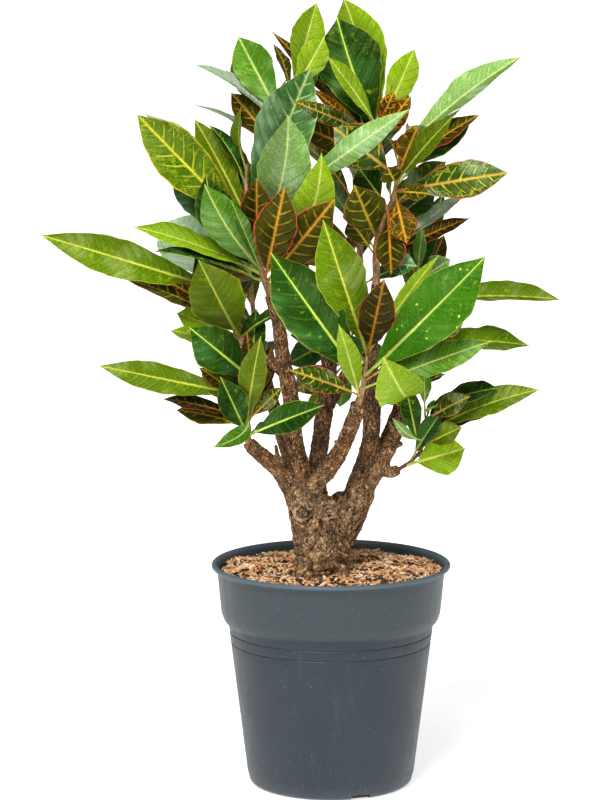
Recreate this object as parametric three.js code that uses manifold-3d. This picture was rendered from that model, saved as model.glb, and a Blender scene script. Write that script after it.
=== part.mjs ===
// Potted croton: a nursery pot of soil with a branching woody trunk and its leafy shoots.
// Millimetres, +Z up, origin at the centre of the pot's underside; the seen side faces -Y.
import * as THREE from "three";
import { mergeVertices } from "three/addons/utils/BufferGeometryUtils.js";
import Module from "manifold-3d";

const wasm = await Module();
wasm.setup();

// Pot
const POT_HEIGHT = 254;
const RIM_RADIUS = 135;
const LIP_RADIUS = 2.9;
const LIP_ANGLES = [-70, 0, 50, 100, 160];
const COLLAR_TOP = 246;
const COLLAR_TOP_RADIUS = 128.5;
const COLLAR_BOTTOM_RADIUS = 124;
const COLLAR_BOTTOM = 197;
const BODY_TOP = 185;
const BODY_TOP_RADIUS = 116;
const STEP_OUT = 4.5;
const STEP_RISE = 4;
const BODY_BOTTOM_RADIUS = 93;
const FOOT_ROUNDING = [[9, 0], [3, 2.5], [0, 8]];
const INNER_FOOT_INSET = 5;
const WALL = 2.2;
const FLOOR = 3;
const NOTCH_COUNT = 3;
const NOTCH_WIDTH = 22;
const NOTCH_HEIGHT = 6;
const NOTCH_DEPTH = 24;
const NOTCH_TURN = 0.385;
const POT_SIDES = 36;

// Soil
const SOIL_TOP = 243;
const SOIL_TOP_RADIUS = 125.1;
const SOIL_MOUND = 6;
const SOIL_RING_SHARES = [1, 0.72, 0.42];
const SOIL_COARSE_WAVE = 1.6;
const SOIL_FINE_WAVE = 1.1;
const SOIL_GAP = 0.8;
const SOIL_SIDES = 28;

// Wood
const TRUNK_RADIUS = 28;
const TRUNK_FOOT = 150;
const TRUNK_AXIS = [-10, -28];
const TRUNK_BENDS = [[0, 150], [0, 200], [0, 250], [1, 280], [2, 305], [3, 325]];
const TRUNK_SIDES = 14;
const TRUNK_STEPS = 9;
const TRUNK_PLAIN_SHARE = 0.6;
const TRUNK_TAPER = 38;
const FORK_SIDES = 10;
const FORK_STEPS = 4;
const HOLE_GAP = 0.6;
const HOLE_SIDES = 32;
const HOLE_HEIGHT = 200;
const BARK_SIDES = 8;
const BARK_LOBES = 0.06;
const BARK_KNOBS = 0.05;
const BRANCH_TAPER_POWER = 0.7;
const BARK_STEP = 42;
const TWIG_SIDES = 6;
const TWIG_STEPS = 4;
const TWIG_RADIUS = 4.6;
const TWIG_TIP_RADIUS = 1.6;
const SHOOT_GAP = 0.5;

// Leaves
const BLADE_THICKNESS = 1.3;
const STALK_HALF_WIDTH = 1.7;
const STALK_THICKNESS = 3;
const STALK_LENGTH = 14;
const LONGEST_STALK_SHARE = 0.3;
const TIP_HALF_WIDTH = 0.9;
const BLADE_FOLD = 14;
const BLADE_WAVE = 0.06;
const WAVES_PER_LEAF = 2.5;
const WIDEST_POWER = 1.3;
const FULLNESS_POWER = 0.8;
const LOWEST_LEAF = 0.12;
const HIGHEST_LEAF = 0.97;
const LEAF_PHASE = 0.37;
const GOLDEN_SHARE = 0.618;
const FAN_LOWEST_RISE = 5;
const FAN_HIGHEST_RISE = 68;
const FAN_WIDTH = 0.27;
const FAN_SHORTENING = 0.2;
const FAN_TURN = 60;
const FAN_ARCH = 0.07;
const WIDE_BLADE = 45;
const WIDE_STATIONS = [0, 0.24, 0.52, 0.8, 1];
const SLIM_STATIONS = [0, 0.32, 0.68, 1];

// The two limbs that the butt forks into: points on the axis, radius at the foot and at the end.
const FORKS = [
  { axis: [[-13, -26, 263], [-17, -20, 282], [-25, -10, 305], [-33, -7, 332]], radii: [25, 19] },
  { axis: [[-7, -26, 263], [1, -19, 282], [17, -8, 305], [32, -2, 332]], radii: [25, 17] },
];

// Woody branches: name, points on the axis, radius at the foot and at the end.
const BRANCHES = {
  left: { axis: [[-24, -5, 305], [-43, -8, 339], [-54, -10, 356], [-71, -14, 373], [-92, -18, 395]],
    radii: [13, 8] },
  upper_left: { axis: [[-22, -6, 305], [-30, -10, 345], [-42, -10, 393], [-45, -12, 443], [-53, -14, 483],
    [-59, -16, 527], [-68, -20, 560]], radii: [15, 6.5] },
  outer_left: { axis: [[-52, -14, 470], [-75, -12, 490], [-98, -12, 505]], radii: [6, 5] },
  front: { axis: [[-20, -8, 312], [-20, -22, 342], [-4, -34, 366], [12, -42, 392], [26, -50, 428],
    [30, -58, 445]], radii: [13, 8] },
  middle: { axis: [[-10, -12, 302], [-16, 16, 350], [-5, 28, 443], [-2, 30, 471], [8, 34, 560], [24, 38, 620],
    [34, 38, 655]], radii: [13, 5.5] },
  crown_left: { axis: [[-3, 30, 465], [-16, 14, 540], [-33, 3, 600], [-45, 5, 650]], radii: [6.5, 5] },
  upper_right: { axis: [[18, 0, 305], [40, 5, 359], [45, 5, 404], [43, 4, 454], [46, 0, 520],
    [50, -5, 572]], radii: [14, 6] },
  right: { axis: [[10, -4, 290], [28, -2, 322], [54, 0, 365], [74, 4, 404], [83, 8, 430]], radii: [15, 7] },
  lower_right: { axis: [[54, -1, 362], [66, -5, 358], [76, -8, 362]], radii: [8, 6] },
  centre: { axis: [[-5, 26, 425], [6, 46, 440], [14, 58, 456]], radii: [7, 5.5] },
  back_left: { axis: [[-20, -12, 296], [-50, 34, 380], [-74, 66, 450]], radii: [13, 7] },
  back: { axis: [[12, -10, 296], [46, 60, 390], [44, 98, 470], [36, 108, 530]], radii: [13, 6] },
  back_right: { axis: [[12, -12, 298], [60, 34, 380], [88, 66, 450]], radii: [13, 7] },
};

// Leafy shoots: the branch each one ends, its twig's axis past that branch, and its leaves.
// A leaf is: where it grows along the twig (0 to 1), tip x, y, z, width, turn of its upper face
// about its length (0 faces the seen side, 90 the sky), arch and sweep (parts of its length).
const SHOOTS = {
  crown_shoot: {
    branch: "middle",
    twig: [[44, 38, 690], [52, 35, 725], [54, 34, 750]],
    leaves: [
      [0.8, 13, 100, 884, 60, 0, 0.03, -0.03],
      [0.75, 6, 75, 863, 76, 0, 0.04, 0.02],
      [0.85, -5, 0, 824, 27, 40, 0.03, 0],
      [0.75, -43, -43, 778, 22, 10, 0.03, 0],
      [0.65, -23, 10, 789, 14, 20, 0, 0],
      [0.5, -37, 0, 748, 34, 10, 0.03, 0],
      [0.6, -68, 88, 847, 26, 50, 0.02, 0],
      [0.85, 93, 60, 829, 35, 0, 0.03, 0],
      [0.7, 86, 5, 778, 30, 10, 0.1, 0],
      [0.8, 70, 0, 786, 20, 20, 0.1, 0],
    ],
  },
  crown_left_shoot: {
    branch: "crown_left",
    twig: [[-52, 15, 700], [-54, 24, 745], [-44, 30, 782]],
    leaves: [
      [0.7, -105, 70, 842, 46, 0, 0.04, 0],
      [0.65, -154, 50, 812, 40, 75, 0.06, 0],
      [0.6, -113, 100, 814, 40, 20, 0.03, 0],
      [0.4, -113, 50, 780, 36, 20, 0.05, 0],
      [0.4, -158, 90, 764, 30, 80, 0.06, 0],
      [0.95, -8, 42, 843, 36, 0, 0.02, 0],
      [1, -17, 70, 880, 38, 0, 0.02, 0],
      [0.05, 84, -95, 773, 30, 20, 0.02, 0],
    ],
  },
  upper_right_shoot: {
    branch: "upper_right",
    twig: [[50, -8, 611], [57, -12, 645], [68, -15, 668], [74, -12, 700], [76, -5, 722]],
    leaves: [
      [0.75, 2, -30, 748, 54, 0, 0.03, 0],
      [0.25, 25, -60, 687, 52, 0, 0.05, 0],
      [0.7, 61, -45, 706, 26, 0, 0.1, 0],
      [0.65, 108, -45, 676, 21, 20, 0.05, 0],
      [0.65, 195, -40, 699, 44, 10, 0.05, 0],
      [0.95, 210, 0, 824, 44, 50, 0.05, 0],
      [0.75, 94, -30, 747, 30, 10, 0.05, 0],
      [0.85, 107, -10, 748, 34, 20, 0, 0],
      [0.7, 133, -70, 764, 28, 30, 0.05, 0],
      [0.8, 143, -20, 769, 20, 70, 0, 0],
      [0.8, 163, -30, 762, 34, 55, 0.03, 0],
      [0.75, 155, -15, 755, 44, 40, 0.05, 0],
      [0.65, 83, -45, 621, 34, 0, 0.05, 0],
      [0.5, 66, -46, 587, 37, 0, 0.05, 0],
      [0.05, 94, -45, 596, 28, 20, 0.03, 0],
      [0.12, 152, 15, 671, 22, 50, 0.03, 0],
      [0.12, 154, -5, 645, 24, 40, 0.04, 0],
    ],
  },
  upper_left_shoot: {
    branch: "upper_left",
    twig: [[-78, -24, 590], [-88, -24, 625], [-94, -18, 665], [-94, -8, 705]],
    leaves: [
      [0.15, -51, -90, 688, 48, 0, 0.06, 0],
      [0.05, 3, -85, 674, 52, 0, 0.05, 0],
      [0.2, -11, -55, 722, 48, 0, 0.05, -0.12],
      [0.45, -48, -35, 762, 60, 0, 0.05, -0.08],
      [0.6, -23, 0, 812, 68, 10, 0.05, 0],
      [0.55, -216, -10, 761, 60, 5, 0.05, 0],
      [0.6, -153, 20, 753, 36, 20, 0.05, 0],
      [0.6, -120, 40, 735, 34, 20, 0.03, 0],
      [0.45, -180, 20, 688, 42, 10, 0.03, 0],
      [0.4, -138, -30, 694, 48, 20, 0.03, 0.15],
      [0.25, -139, -60, 688, 46, 10, 0.05, 0.05],
      [0.2, -110, -75, 672, 18, 30, 0, 0],
      [0.35, -82, -65, 695, 40, 0, 0.03, 0],
      [0.2, -219, -50, 640, 44, 65, 0.04, 0],
      [0.1, -194, -75, 616, 36, 78, 0.05, 0],
      [0.7, -210, 60, 756, 44, 60, 0.04, 0],
    ],
  },
  left_shoot: {
    branch: "outer_left",
    twig: [[-112, -12, 535], [-118, -10, 570]],
    leaves: [
      [0.9, -322, -40, 630, 44, 10, 0.06, 0],
      [0.3, -229, -30, 580, 34, 60, 0.05, 0],
      [0.5, -182, 20, 568, 26, 50, 0.03, 0],
      [0.5, -177, -45, 577, 20, 20, 0, 0],
      [0.05, -145, -80, 607, 66, 0, 0.06, 0],
      [0.15, -172, -20, 540, 40, 30, 0.03, 0],
      [0.95, -185, 90, 632, 70, 10, 0.04, 0],
    ],
  },
  lower_left_shoot: {
    branch: "left",
    twig: [[-94, -22, 425], [-86, -24, 470]],
    leaves: [
      [0.95, -156, -70, 531, 52, 10, 0.08, 0],
      [0.85, -157, -20, 513, 30, 50, 0.03, 0],
      [0.75, -259, -40, 484, 34, 10, 0.05, 0],
      [0.7, -146, -60, 485, 20, 20, 0, 0],
      [0.6, -148, -30, 461, 20, 60, 0, 0],
      [0.45, -187, -35, 446, 30, 65, 0.03, 0],
      [0.3, -173, -20, 431, 34, 50, 0.05, 0],
      [0.15, -122, -75, 477, 36, 10, 0.05, 0],
      [0.35, -77, -95, 525, 32, 10, 0.05, 0],
      [0.9, -93, -60, 525, 16, 0, 0, 0],
      [0.55, -130, -85, 400, 22, 20, 0.1, 0.18],
      [0.1, -8, -85, 447, 36, 20, 0.05, 0],
      [0.4, -54, -60, 463, 20, 20, 0, 0],
    ],
  },
  front_shoot: {
    branch: "front",
    twig: [[36, -64, 470], [40, -62, 502]],
    leaves: [
      [0.5, -66, -90, 616, 70, 0, 0.05, 0],
      [0.6, 168, -100, 614, 70, 0, 0.05, 0],
      [1, -9, -110, 654, 56, 0, 0.05, 0],
      [0.95, 57, -125, 592, 44, 0, 0.05, 0],
      [1, 118, -60, 610, 20, 40, 0.03, 0],
      [0.2, -45, -105, 489, 30, 20, 0.05, 0],
      [0.8, 18, -105, 528, 18, 20, 0, 0],
      [0.02, 8, -145, 545, 26, 10, 0.05, 0],
      [0.5, 148, -75, 545, 30, 20, 0.03, 0],
      [0.35, 175, -90, 519, 34, 20, 0.05, 0],
    ],
  },
  right_shoot: {
    branch: "right",
    twig: [[92, 14, 500], [96, 15, 580]],
    leaves: [
      [0.8, 256, 0, 553, 44, 67, 0.04, 0],
      [0.5, 224, 20, 498, 48, 60, 0.05, 0],
      [0.3, 122, -20, 475, 18, 20, 0, 0],
      [1, 100, -55, 640, 16, 20, 0, 0],
      [0.95, 132, -15, 600, 30, 20, 0, 0],
      [0.02, 56, -150, 510, 56, 0, 0.1, 0],
    ],
  },
  lower_right_shoot: {
    branch: "lower_right",
    twig: [[96, -12, 378], [106, -16, 402], [104, -18, 435]],
    leaves: [
      [0.95, 185, -50, 461, 36, 60, 0.05, 0],
      [0.85, 153, -70, 455, 26, 30, 0.03, 0],
      [0.7, 230, -60, 461, 38, 50, 0.06, 0],
      [0.65, 185, -30, 433, 26, 65, 0.03, 0],
      [0.5, 145, -50, 417, 28, 30, 0.03, 0],
      [0.12, 150, -20, 388, 48, 10, 0.05, 0],
      [0.6, 68, -55, 428, 12, 20, 0.05, 0.1],
      [0.9, 103, -35, 478, 18, 30, 0, 0],
    ],
  },
  centre_shoot: {
    branch: "centre",
    twig: [[18, 68, 490], [12, 76, 530]],
    leaves: [
      [0.8, -46, 30, 508, 56, 20, 0.05, 0],
      [0.3, -42, 62, 440, 34, 20, 0.03, 0],
      [0.4, 10, 98, 415, 24, 0, 0.03, 0],
      [0.4, 78, 40, 425, 30, 10, 0.12, 0],
      [0.3, -30, 85, 405, 18, 20, 0.03, 0],
    ],
  },
  back_left_shoot: {
    branch: "back_left",
    twig: [[-88, 84, 520], [-96, 96, 610]],
    fan: { count: 11, middle: 138, spread: 50, reach: 130 },
  },
  back_shoot: {
    branch: "back",
    twig: [[32, 114, 600], [27, 120, 660], [26, 120, 720]],
    fan: { count: 11, middle: 122, spread: 66, reach: 120 },
  },
  back_right_shoot: {
    branch: "back_right",
    twig: [[98, 78, 505], [104, 90, 575]],
    fan: { count: 11, middle: 80, spread: 42, reach: 110 },
  },
};

const depthAxis = new THREE.Vector3(0, 1, 0);
const toViewer = new THREE.Vector3(0, -1, 0);

function solidFrom(geometry) {
  geometry.deleteAttribute("normal");
  geometry.deleteAttribute("uv");
  const merged = mergeVertices(geometry, 1e-4);
  return new wasm.Manifold(new wasm.Mesh({
    numProp: 3,
    vertProperties: new Float32Array(merged.attributes.position.array),
    triVerts: new Uint32Array(merged.index.array),
  }));
}

function solidFromFaces(points, faces) {
  const geometry = new THREE.BufferGeometry();
  geometry.setAttribute("position", new THREE.Float32BufferAttribute(points.flatMap((p) => p.toArray()), 3));
  geometry.setIndex(faces);
  return solidFrom(geometry);
}

function geometryFrom(solid) {
  const mesh = solid.getMesh();
  const geometry = new THREE.BufferGeometry();
  geometry.setAttribute("position", new THREE.BufferAttribute(mesh.vertProperties, 3));
  geometry.setIndex(new THREE.BufferAttribute(mesh.triVerts, 1));
  geometry.computeVertexNormals();
  return geometry;
}

// Closed tube through rings of equal point count, with fans over both ends.
function closedLoft(rings) {
  const points = rings.flat();
  const count = rings[0].length;
  const faces = [];
  for (let i = 0; i < rings.length - 1; i++) {
    for (let j = 0; j < count; j++) {
      const a = i * count + j;
      const b = i * count + (j + 1) % count;
      faces.push(a, b, b + count, a, b + count, a + count);
    }
  }
  const last = (rings.length - 1) * count;
  for (let j = 1; j < count - 1; j++) {
    faces.push(0, j + 1, j);
    faces.push(last, last + j, last + j + 1);
  }
  return solidFromFaces(points, faces);
}

function curveThrough(points) {
  return new THREE.CatmullRomCurve3(points.map((p) => new THREE.Vector3(...p)), false, "catmullrom", 0.5);
}

// Round limb along part of a curve: radiusAt and bumpAt give its size along and around it.
function limb(curve, [from, to], sides, steps, radiusAt, bumpAt = () => 1) {
  const rings = [];
  for (let i = 0; i <= steps; i++) {
    const along = from + ((to - from) * i) / steps;
    const centre = curve.getPoint(along);
    const tangent = curve.getTangent(along);
    const across = depthAxis.clone().cross(tangent).normalize();
    const outward = tangent.clone().cross(across);
    rings.push(Array.from({ length: sides }, (_, j) => {
      const angle = (j / sides) * 2 * Math.PI;
      const radius = radiusAt(i / steps) * bumpAt(i / steps, angle);
      return centre.clone()
        .addScaledVector(across, Math.cos(angle) * radius)
        .addScaledVector(outward, Math.sin(angle) * radius);
    }));
  }
  return closedLoft(rings);
}

// Leaf blade: a stalk, then an oval blade with a pointed tip, folded along its midrib,
// arched along its length and waved along its margins.
function leafHalfWidth(along, stalkEnd, width) {
  if (along <= stalkEnd) return STALK_HALF_WIDTH;
  const blade = (along - stalkEnd) / (1 - stalkEnd);
  const oval = 0.5 * width * Math.pow(Math.sin(Math.PI * Math.pow(blade, WIDEST_POWER)), FULLNESS_POWER);
  return Math.max(oval, blade < 0.5 ? STALK_HALF_WIDTH : TIP_HALF_WIDTH);
}

function leaf(root, tip, width, turn, arch, sweep, phase) {
  const chord = tip.clone().sub(root);
  const length = chord.length();
  const direction = chord.clone().normalize();
  const facing = toViewer.clone().addScaledVector(direction, -direction.dot(toViewer)).normalize();
  const skyward = facing.clone().cross(direction);
  if (skyward.z < 0) skyward.negate();
  const angle = THREE.MathUtils.degToRad(turn);
  const normal = facing.multiplyScalar(Math.cos(angle)).addScaledVector(skyward, Math.sin(angle));
  const side = normal.clone().cross(direction);
  const stalkEnd = Math.min(STALK_LENGTH / length, LONGEST_STALK_SHARE);
  const fold = THREE.MathUtils.degToRad(BLADE_FOLD);
  const ringAt = (along, thickness, marginThickness) => {
    const bend = 4 * along * (1 - along) * length;
    const centre = root.clone().addScaledVector(chord, along)
      .addScaledVector(normal, arch * bend)
      .addScaledVector(side, sweep * bend);
    const tangent = direction.clone().addScaledVector(normal, arch * 4 * (1 - 2 * along)).normalize();
    const lift = normal.clone().addScaledVector(tangent, -normal.dot(tangent)).normalize();
    const half = leafHalfWidth(along, stalkEnd, width);
    const wave = BLADE_WAVE * half * Math.sin(2 * Math.PI * (WAVES_PER_LEAF * along + phase));
    const margin = (sign, face) => centre.clone()
      .addScaledVector(side, sign * half * Math.cos(fold))
      .addScaledVector(lift, half * Math.sin(fold) + sign * wave + (face * marginThickness) / 2);
    const middle = (face) => centre.clone().addScaledVector(lift, (face * thickness) / 2);
    return [margin(-1, 1), middle(1), margin(1, 1), margin(1, -1), middle(-1), margin(-1, -1)];
  };
  const rings = [ringAt(0, STALK_THICKNESS, STALK_THICKNESS * 0.6)];
  for (const station of width < WIDE_BLADE ? SLIM_STATIONS : WIDE_STATIONS) {
    const thickness = station === 0 ? STALK_THICKNESS : BLADE_THICKNESS;
    rings.push(ringAt(stalkEnd + (1 - stalkEnd) * station, thickness, BLADE_THICKNESS));
  }
  return bladeSolid(rings);
}

// Ring order: left, middle and right of the upper face, then right, middle and left of the lower.
// Both faces of a blade are split along the same diagonals.
function bladeSolid(rings) {
  const faces = [];
  for (let i = 0; i < rings.length - 1; i++) {
    for (let j = 0; j < 6; j++) {
      const a = i * 6 + j;
      const b = i * 6 + (j + 1) % 6;
      const c = b + 6;
      const d = a + 6;
      if (j === 3 || j === 4) faces.push(a, d, b, b, d, c);
      else faces.push(a, c, b, a, d, c);
    }
  }
  const last = (rings.length - 1) * 6;
  faces.push(0, 1, 4, 0, 4, 5, 1, 2, 3, 1, 3, 4);
  faces.push(last, last + 4, last + 1, last, last + 5, last + 4);
  faces.push(last + 1, last + 3, last + 2, last + 1, last + 4, last + 3);
  return solidFromFaces(rings.flat(), faces);
}

// A shoot's twig goes on along its branch's axis, a small gap past the branch's end face.
function twigCurve({ branch, twig }) {
  const { axis } = BRANCHES[branch];
  const curve = curveThrough([...axis, ...twig]);
  const branchEnd = (axis.length - 1) / (axis.length + twig.length - 1);
  return { curve, branchEnd };
}

function leafRoot({ curve, branchEnd }, at) {
  const share = THREE.MathUtils.clamp(at, LOWEST_LEAF, HIGHEST_LEAF);
  return curve.getPoint(branchEnd + (1 - branchEnd) * share);
}

function shoot(plan) {
  const stem = twigCurve(plan);
  const gap = SHOOT_GAP / stem.curve.getLength();
  const radiusAt = (t) => THREE.MathUtils.lerp(TWIG_RADIUS, TWIG_TIP_RADIUS, t);
  let solid = limb(stem.curve, [stem.branchEnd + gap, 1], TWIG_SIDES, TWIG_STEPS, radiusAt);
  leavesOf(plan, stem).forEach(([at, x, y, z, width, turn, arch, sweep], index) => {
    const tip = new THREE.Vector3(x, y, z);
    solid = solid.add(leaf(leafRoot(stem, at), tip, width, turn, arch, sweep, index * LEAF_PHASE));
  });
  return solid;
}

// The shoots at the back carry their leaves in a spiral fan round their middle direction,
// reaching outward below and upward at the top.
function leavesOf({ leaves, fan }, stem) {
  if (leaves) return leaves;
  return Array.from({ length: fan.count }, (_, k) => {
    const share = (k + 0.5) / fan.count;
    const swing = 2 * ((k * GOLDEN_SHARE) % 1) - 1;
    const azimuth = THREE.MathUtils.degToRad(fan.middle + fan.spread * swing);
    const rise = THREE.MathUtils.degToRad(THREE.MathUtils.lerp(FAN_LOWEST_RISE, FAN_HIGHEST_RISE, share));
    const reach = fan.reach * (1 - FAN_SHORTENING * swing * swing);
    const root = leafRoot(stem, share);
    const out = new THREE.Vector3(Math.cos(azimuth), Math.sin(azimuth), 0).multiplyScalar(Math.cos(rise));
    const tip = out.setZ(Math.sin(rise)).multiplyScalar(reach).add(root);
    const turn = FAN_TURN * Math.abs(Math.cos(azimuth));
    return [share, tip.x, tip.y, tip.z, reach * FAN_WIDTH, turn, FAN_ARCH, 0];
  });
}

function barkBump(seed) {
  return (along, angle) => {
    const lobes = BARK_LOBES * Math.sin(3 * angle + seed + 9 * along);
    const knobs = BARK_KNOBS * Math.sin(17 * along + 2 * seed);
    return 1 + lobes + knobs;
  };
}

// The butt is plain where it stands in the soil and narrows above it, inside the two forks.
function butt() {
  const [x, y] = TRUNK_AXIS;
  const curve = curveThrough(TRUNK_BENDS.map(([bend, z]) => [x + bend, y, z]));
  const radiusAt = (t) => TRUNK_RADIUS - TRUNK_TAPER * Math.max(0, t - TRUNK_PLAIN_SHARE);
  return limb(curve, [0, 1], TRUNK_SIDES, TRUNK_STEPS, radiusAt);
}

function fork({ axis, radii: [foot, end] }, index) {
  const radiusAt = (t) => THREE.MathUtils.lerp(foot, end, t);
  return limb(curveThrough(axis), [0, 1], FORK_SIDES, FORK_STEPS, radiusAt, barkBump(index));
}

function branch(name, { axis, radii: [foot, end] }, index) {
  const plan = Object.values(SHOOTS).find((entry) => entry.branch === name);
  const { curve, branchEnd } = twigCurve(plan);
  const steps = Math.max(3, Math.round((curve.getLength() * branchEnd) / BARK_STEP));
  const radiusAt = (t) => THREE.MathUtils.lerp(foot, end, Math.pow(t, BRANCH_TAPER_POWER));
  return limb(curve, [0, branchEnd], BARK_SIDES, steps, radiusAt, barkBump(index));
}

function trunk() {
  const forks = FORKS.map(fork);
  const branches = Object.entries(BRANCHES).map(([name, limits], index) => branch(name, limits, index));
  return [...forks, ...branches].reduce((solid, piece) => solid.add(piece), butt());
}

// Outline of half the pot's section, from the middle of its underside out and back to its floor.
function potProfile() {
  const foot = FOOT_ROUNDING.map(([inset, z]) => [BODY_BOTTOM_RADIUS - inset, z]);
  const step = [
    [BODY_TOP_RADIUS, BODY_TOP],
    [BODY_TOP_RADIUS + STEP_OUT, BODY_TOP + STEP_RISE],
    [COLLAR_BOTTOM_RADIUS, COLLAR_BOTTOM],
    [COLLAR_TOP_RADIUS, COLLAR_TOP],
  ];
  const lip = LIP_ANGLES.map((degrees) => {
    const angle = THREE.MathUtils.degToRad(degrees);
    const radius = RIM_RADIUS - LIP_RADIUS + LIP_RADIUS * Math.cos(angle);
    return [radius, POT_HEIGHT - LIP_RADIUS + LIP_RADIUS * Math.sin(angle)];
  });
  const inner = [
    [COLLAR_TOP_RADIUS - WALL, COLLAR_TOP],
    [COLLAR_BOTTOM_RADIUS - WALL, COLLAR_BOTTOM + 1],
    [BODY_TOP_RADIUS - WALL, BODY_TOP + 3],
    [BODY_BOTTOM_RADIUS - WALL, FOOT_ROUNDING[2][1]],
    [BODY_BOTTOM_RADIUS - INNER_FOOT_INSET, FLOOR],
  ];
  return [[0, 0], ...foot, ...step, ...lip, ...inner, [0, FLOOR]];
}

function pot() {
  const profile = potProfile().map(([radius, z]) => new THREE.Vector2(radius, z));
  const body = solidFrom(new THREE.LatheGeometry(profile, POT_SIDES).rotateX(Math.PI / 2));
  return Array.from({ length: NOTCH_COUNT }).reduce((solid, _, i) => {
    const angle = (i / NOTCH_COUNT) * 2 * Math.PI - Math.PI / 2 + NOTCH_TURN;
    const notch = new THREE.BoxGeometry(NOTCH_DEPTH, NOTCH_WIDTH, 2 * NOTCH_HEIGHT)
      .translate(BODY_BOTTOM_RADIUS, 0, 0)
      .rotateZ(angle);
    return solid.subtract(solidFrom(notch));
  }, body);
}

// Soil fills the pot under the rim, heaped a little unevenly, with a plain hole for the trunk.
function soil() {
  const levels = [
    [BODY_BOTTOM_RADIUS - INNER_FOOT_INSET, FLOOR + SOIL_GAP],
    [BODY_BOTTOM_RADIUS - WALL, FOOT_ROUNDING[2][1] + SOIL_GAP],
    [BODY_TOP_RADIUS - WALL, BODY_TOP + 3 + SOIL_GAP],
    [COLLAR_BOTTOM_RADIUS - WALL, COLLAR_BOTTOM + 1],
  ];
  const sides = levels.map(([radius, height]) => soilRing(radius - SOIL_GAP, () => height));
  const top = SOIL_RING_SHARES.map((share) => {
    const dome = SOIL_TOP + SOIL_MOUND * Math.sin((1 - share) * Math.PI * 0.9);
    const coarse = (angle) => SOIL_COARSE_WAVE * Math.sin(5 * angle + 7 * share);
    const fine = (angle) => SOIL_FINE_WAVE * Math.sin(11 * angle - 4 * share);
    return soilRing(SOIL_TOP_RADIUS * share, (angle) => dome + coarse(angle) + fine(angle));
  });
  const [x, y] = TRUNK_AXIS;
  const holeRadius = TRUNK_RADIUS + HOLE_GAP;
  const hole = new THREE.CylinderGeometry(holeRadius, holeRadius, HOLE_HEIGHT, HOLE_SIDES)
    .rotateX(Math.PI / 2)
    .translate(x, y, TRUNK_FOOT - HOLE_GAP + HOLE_HEIGHT / 2);
  return closedLoft([...sides, ...top]).subtract(solidFrom(hole));
}

function soilRing(radius, heightAt) {
  return Array.from({ length: SOIL_SIDES }, (_, i) => {
    const angle = (i / SOIL_SIDES) * 2 * Math.PI;
    return new THREE.Vector3(Math.cos(angle) * radius, Math.sin(angle) * radius, heightAt(angle));
  });
}

function part(name, solid, color, roughness) {
  const material = new THREE.MeshStandardMaterial({ color, roughness, metalness: 0 });
  const mesh = new THREE.Mesh(geometryFrom(solid), material);
  mesh.name = name;
  return mesh;
}

const croton = new THREE.Group();
croton.add(part("pot", pot(), 0x4a555c, 0.45));
croton.add(part("soil", soil(), 0x8c5f3c, 0.95));
croton.add(part("trunk", trunk(), 0x6b513a, 0.9));
for (const [name, plan] of Object.entries(SHOOTS)) {
  croton.add(part(name, shoot(plan), 0x3c7a34, 0.4));
}

export default croton;
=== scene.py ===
import itertools
import math

import bmesh
import bpy
import numpy as np
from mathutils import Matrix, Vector, noise


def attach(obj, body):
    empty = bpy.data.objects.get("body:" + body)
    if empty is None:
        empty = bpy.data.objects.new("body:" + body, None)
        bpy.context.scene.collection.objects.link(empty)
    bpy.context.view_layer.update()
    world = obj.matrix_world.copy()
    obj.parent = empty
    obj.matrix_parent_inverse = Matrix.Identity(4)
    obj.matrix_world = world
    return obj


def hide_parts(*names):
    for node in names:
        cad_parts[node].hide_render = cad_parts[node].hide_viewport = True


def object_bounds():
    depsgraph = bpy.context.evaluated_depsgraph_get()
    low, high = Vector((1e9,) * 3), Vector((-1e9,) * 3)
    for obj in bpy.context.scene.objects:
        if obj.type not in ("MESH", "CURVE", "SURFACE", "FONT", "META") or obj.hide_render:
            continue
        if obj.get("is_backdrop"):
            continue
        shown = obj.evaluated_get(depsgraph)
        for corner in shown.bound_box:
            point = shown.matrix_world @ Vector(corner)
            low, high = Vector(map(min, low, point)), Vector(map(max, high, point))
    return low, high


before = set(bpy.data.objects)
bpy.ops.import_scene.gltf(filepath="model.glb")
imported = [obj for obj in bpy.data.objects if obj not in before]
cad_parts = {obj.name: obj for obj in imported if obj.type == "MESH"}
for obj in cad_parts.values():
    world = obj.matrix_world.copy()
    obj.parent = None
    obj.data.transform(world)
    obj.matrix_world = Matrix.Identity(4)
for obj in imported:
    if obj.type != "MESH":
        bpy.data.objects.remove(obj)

CAD_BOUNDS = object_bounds()

# The shapes are worked out in millimetres in the model's own frame, and scaled to metres when a
# mesh is made.
MM = 0.001
UP = np.array([0.0, 0.0, 1.0])
TO_VIEWER = np.array([0.0, -1.0, 0.0])
# A direction that no limb or stalk follows, from which the turn of each tube is taken.
TURN_HINT = [0.31, -0.2, 0.93]

# Camera and studio: places in metres, angles in degrees, and the floor's rings in millimetres
SENSOR_HEIGHT = 36
LENS = 159.6
CAMERA_PLACE = (0, -3.93, 1.066)
CAMERA_DROP = 9.06
CAMERA_TURN = 0.51
WORLD_LIGHT = 0.3
BACKDROP_LIGHT = 1.05
SUN_STRENGTH = 2.85
SUN_SPREAD = 28
SUN_DIRECTION = (0.25, 0.62, -0.78)
PANEL_SIZE = (1.2, 1.0)
PANEL_POWER = 9
PANEL_PLACE = (0.9, -2.0, 1.9)
PANEL_AIM = (0, 0, 0.5)
FLOOR_RADII = [1, 400, 1200, 4000, 26000]
FLOOR_SIDES = 96
FLOOR_GLOW = 0.6

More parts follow.
